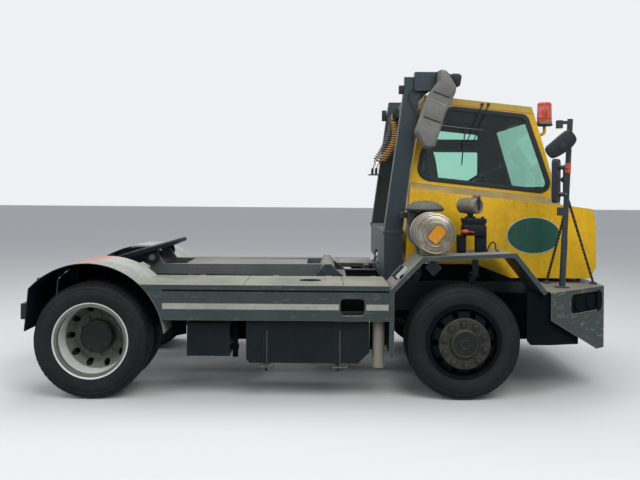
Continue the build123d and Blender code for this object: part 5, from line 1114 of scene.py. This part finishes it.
def make_inside():
    """Seat, dashboard and steering wheel."""
    body = BODY_OF["seat"]
    built("seat_frame", "black_plastic",
          (box, (1190, 1470), (250, 590), (1090, 1330), 12),
          (box, (1150, 1560), (200, 640), (1330, 1392), 14),
          (prism, [(1120, 190, 1500), (1038, 190, 2130), (1072, 190, 2138), (1160, 190, 1500)], (0, 460, 0),
           0, 10), body=body, replaces=("seat",))
    cushion("seat_cushion", [(1130, 170, 1390), (1600, 170, 1390), (1600, 670, 1390), (1130, 670, 1390)],
            (0, 0, 118), body)
    cushion("seat_back_cushion", [(1162, 180, 1525), (1162, 660, 1525), (1085, 660, 2110), (1085, 180, 2110)],
            (86, 0, 11), body)
    dressed("dashboard", "cab_trim", 0.012)
    centre = Vector((1690, 420, 1850))
    axis = steering_axis()
    bm = bmesh.new()
    lathe(bm, circle((0, 212), 13, range(0, 361, 30)), centre, axis, 56)
    lathe(bm, [(-10, 0), (-10, 46), (8, 46), (14, 38), (14, 0)], centre, axis, 32)
    side = axis.orthogonal().normalized()
    for turn in (90, 210, 330):
        way = Matrix.Rotation(math.radians(turn), 3, axis) @ side
        bar(bm, centre + way * 30, centre + way * 208, 11, 12)
    finished("steering_rim", bm, "black_plastic", "steering_wheel", ("steering_wheel",))
    bm = bmesh.new()
    for y in range(250, 611, 90):
        lathe(bm, [(0, 0), (0, 34), (6, 34), (8, 30), (8, 0)], (1925, y, 1588), (-0.75, 0, 0.66), 24)
    box(bm, (1935, 2085), (700, 900), (1578, 1600), 6)
    finished("dash_dials", bm, "dark_lens", "cab")
    built("shift_console", "cab_trim",
          (box, (1560, 1640), (-330, -180), (1052, 1400), 12),
          (bar, (1600, -255, 1400), (1585, -255, 1560), 9, 12),
          (ball, (1583, -255, 1578), 26), body="cab")


def steering_axis():
    """The way the steering column points, read from the packed wheel's joint."""
    return next(Vector(joint["axis"]).normalized() for joint in RECORD["behaviour"]["joints"]
                if joint["child"] == "steering_wheel")


# Air hoses
# Turns, widest radius, fittings on the tower and on the shelf, how far the middle hangs forward, in metres
HOSES = {
    "grey": (22, 0.046, (0.818, 0.850, 2.547), (0.606, 0.850, 1.925), 0.056),
    "yellow": (19, 0.042, (0.800, 0.730, 2.502), (0.636, 0.730, 1.925), 0.105),
}
HOSE_DIAMETER = 0.012
HOSE_TAIL = 0.035
TURN_STEPS = 14


def make_hoses():
    """Two coiled air hoses between the tower and the shelf."""
    scale = bpy.context.scene.tractor_sizes.coil_turns / HOSES["grey"][0]
    for colour, (turns, wide, head, foot, hang) in HOSES.items():
        steps = round(turns * scale) * TURN_STEPS
        head, foot = Vector(head), Vector(foot)
        axis = (foot - head).normalized()
        across = axis.cross(Vector((0, 1, 0))).normalized()
        aside = axis.cross(across)
        # The first and last turn are drawn out, so that the hose leaves its fittings straight
        gains = [1 + 2.5 * max(0.0, 1 - i / TURN_STEPS, 1 - (steps - i) / TURN_STEPS)
                 for i in range(steps + 1)]
        coil = (foot - head).length - 2 * HOSE_TAIL
        points = [head, head + axis * HOSE_TAIL * 0.5]
        gone = 0.0
        for i, gain in enumerate(gains):
            share = (gone + gain / 2) / sum(gains)
            gone += gain
            grown_in = min(1.0, i / TURN_STEPS, (steps - i) / TURN_STEPS)
            radius = wide * (0.72 + 0.28 * share) * grown_in * grown_in * (3 - 2 * grown_in)
            angle = i / TURN_STEPS * math.tau
            bow = Vector((hang, 0, 0)) * math.sin(math.pi * share)
            middle = head + axis * (HOSE_TAIL + coil * share) + bow
            points.append(middle + (across * math.cos(angle) + aside * math.sin(angle)) * radius)
        points += [foot - axis * HOSE_TAIL * 0.5, foot]
        piece = smooth_line(f"{colour}_air_hose", points, HOSE_DIAMETER / 2, f"{colour}_hose")
        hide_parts(f"{colour}_hose_coil", f"{colour}_hose_leads")
        hose_length(piece)


def hose_length(piece):
    """Length of a hose along its own smooth line."""
    depth, piece.data.bevel_depth = piece.data.bevel_depth, 0.0
    mesh = bpy.data.meshes.new_from_object(piece)
    piece.data.bevel_depth = depth
    return sum((mesh.vertices[a].co - mesh.vertices[b].co).length
               for a, b in (e.vertices for e in mesh.edges))


# Stage
def linked(name, data):
    """A new object of the scene."""
    made = bpy.data.objects.new(name, data)
    bpy.context.scene.collection.objects.link(made)
    return made


def make_stage():
    """Pale floor and backdrop, soft light and the camera."""
    scene = bpy.context.scene
    bm = bmesh.new()
    bmesh.ops.create_grid(bm, x_segments=1, y_segments=1, size=60)
    mesh = bpy.data.meshes.new("floor")
    bm.to_mesh(mesh)
    bm.free()
    pale = Finish("pale_floor")
    mesh.materials.append(pale.done(pale.mix(pale.directly_seen(), FLOOR_LIT, FLOOR_SEEN), 0.9))
    linked("floor", mesh)

    world = bpy.data.worlds.new("soft_sky")
    scene.world = world
    world.use_nodes = True
    nodes = world.node_tree.nodes
    nodes.clear()
    sky = Tree(world.node_tree)
    lit, seen = (sky.node("ShaderNodeBackground", None, {"Color": (*colour, 1), "Strength": strength})
                 for colour, strength in (SKY_LIT, SKY_SEEN))
    mixed = sky.node("ShaderNodeMixShader", None, {0: sky.directly_seen(), 1: lit, 2: seen})
    sky.feed(nodes.new("ShaderNodeOutputWorld").inputs[0], mixed)

    for name, (place, aim, power) in LIGHTS.items():
        data = bpy.data.lights.new(name, "AREA")
        data.size = LIGHT_SIZE
        data.energy = power
        lamp = linked(name, data)
        lamp.location = place
        lamp.rotation_euler = (Vector(aim) - Vector(place)).to_track_quat("-Z", "Y").to_euler()

    data = bpy.data.cameras.new("photo_camera")
    data.lens = CAMERA_LENS
    data.sensor_width = 36.0
    data.shift_y = CAMERA_SHIFT
    data.clip_end = 200
    camera = linked("photo_camera", data)
    camera.matrix_world = (Matrix.Translation(CAMERA_PLACE) @ Matrix.Rotation(math.radians(90), 4, "X")
                           @ Matrix.Rotation(math.radians(CAMERA_ROLL), 4, "Z"))
    scene.camera = camera
    scene.view_settings.view_transform = "Standard"


# Add-on
def operator(label, work):
    """An operator class that runs one group's maker."""
    def execute(self, context):
        work()
        return {"FINISHED"}

    word = work.__name__.removeprefix("make_")
    return type(f"TRACTOR_OT_{word}", (bpy.types.Operator,), {
        "bl_idname": f"tractor.{word}", "bl_label": label, "__doc__": work.__doc__, "execute": execute})


MAKERS = [operator(label, work) for label, work in (
    ("Stage", make_stage), ("Finishes", make_finishes), ("Air hoses", make_hoses), ("Tyres", make_tyres),
    ("Rims", make_rims), ("Frame", make_frame), ("Decks", make_decks), ("Bumper", make_bumper),
    ("Tower", make_tower), ("Muffler", make_muffler), ("Boxes", make_carried_boxes), ("Lamps", make_lamps),
    ("Mirrors", make_mirrors), ("Cab", make_cab), ("Windows", make_windows), ("Inside", make_inside))]


class TRACTOR_PT_panel(bpy.types.Panel):
    """Lists the makers and the settings in the sidebar."""

    bl_label = "Terminal tractor"
    bl_space_type = "VIEW_3D"
    bl_region_type = "UI"
    bl_category = "Tractor"

    def draw(self, context):
        for maker in MAKERS:
            self.layout.operator(maker.bl_idname)
        for key in ("cab", "chassis", "deck", "fender", "glass", "rim", "dust", "mud"):
            self.layout.prop(context.scene.tractor_colours, key)
        for key in ("edge", "seal", "coil_turns"):
            self.layout.prop(context.scene.tractor_sizes, key)


CLASSES = [TractorColours, TractorSizes, *MAKERS, TRACTOR_PT_panel]


def register():
    """Make the classes known and hang the settings on the scene."""
    for one in CLASSES:
        bpy.utils.register_class(one)
    bpy.types.Scene.tractor_colours = bpy.props.PointerProperty(type=TractorColours)
    bpy.types.Scene.tractor_sizes = bpy.props.PointerProperty(type=TractorSizes)


def unregister():
    """Take all of it away again."""
    del bpy.types.Scene.tractor_colours
    del bpy.types.Scene.tractor_sizes
    for one in reversed(CLASSES):
        bpy.utils.unregister_class(one)


def main():
    """Run every maker, then write the two boxes."""
    register()
    for maker in MAKERS:
        family, word = maker.bl_idname.split(".")
        getattr(getattr(bpy.ops, family), word)()
    bpy.context.view_layer.update()


if __name__ == "__main__":
    main()
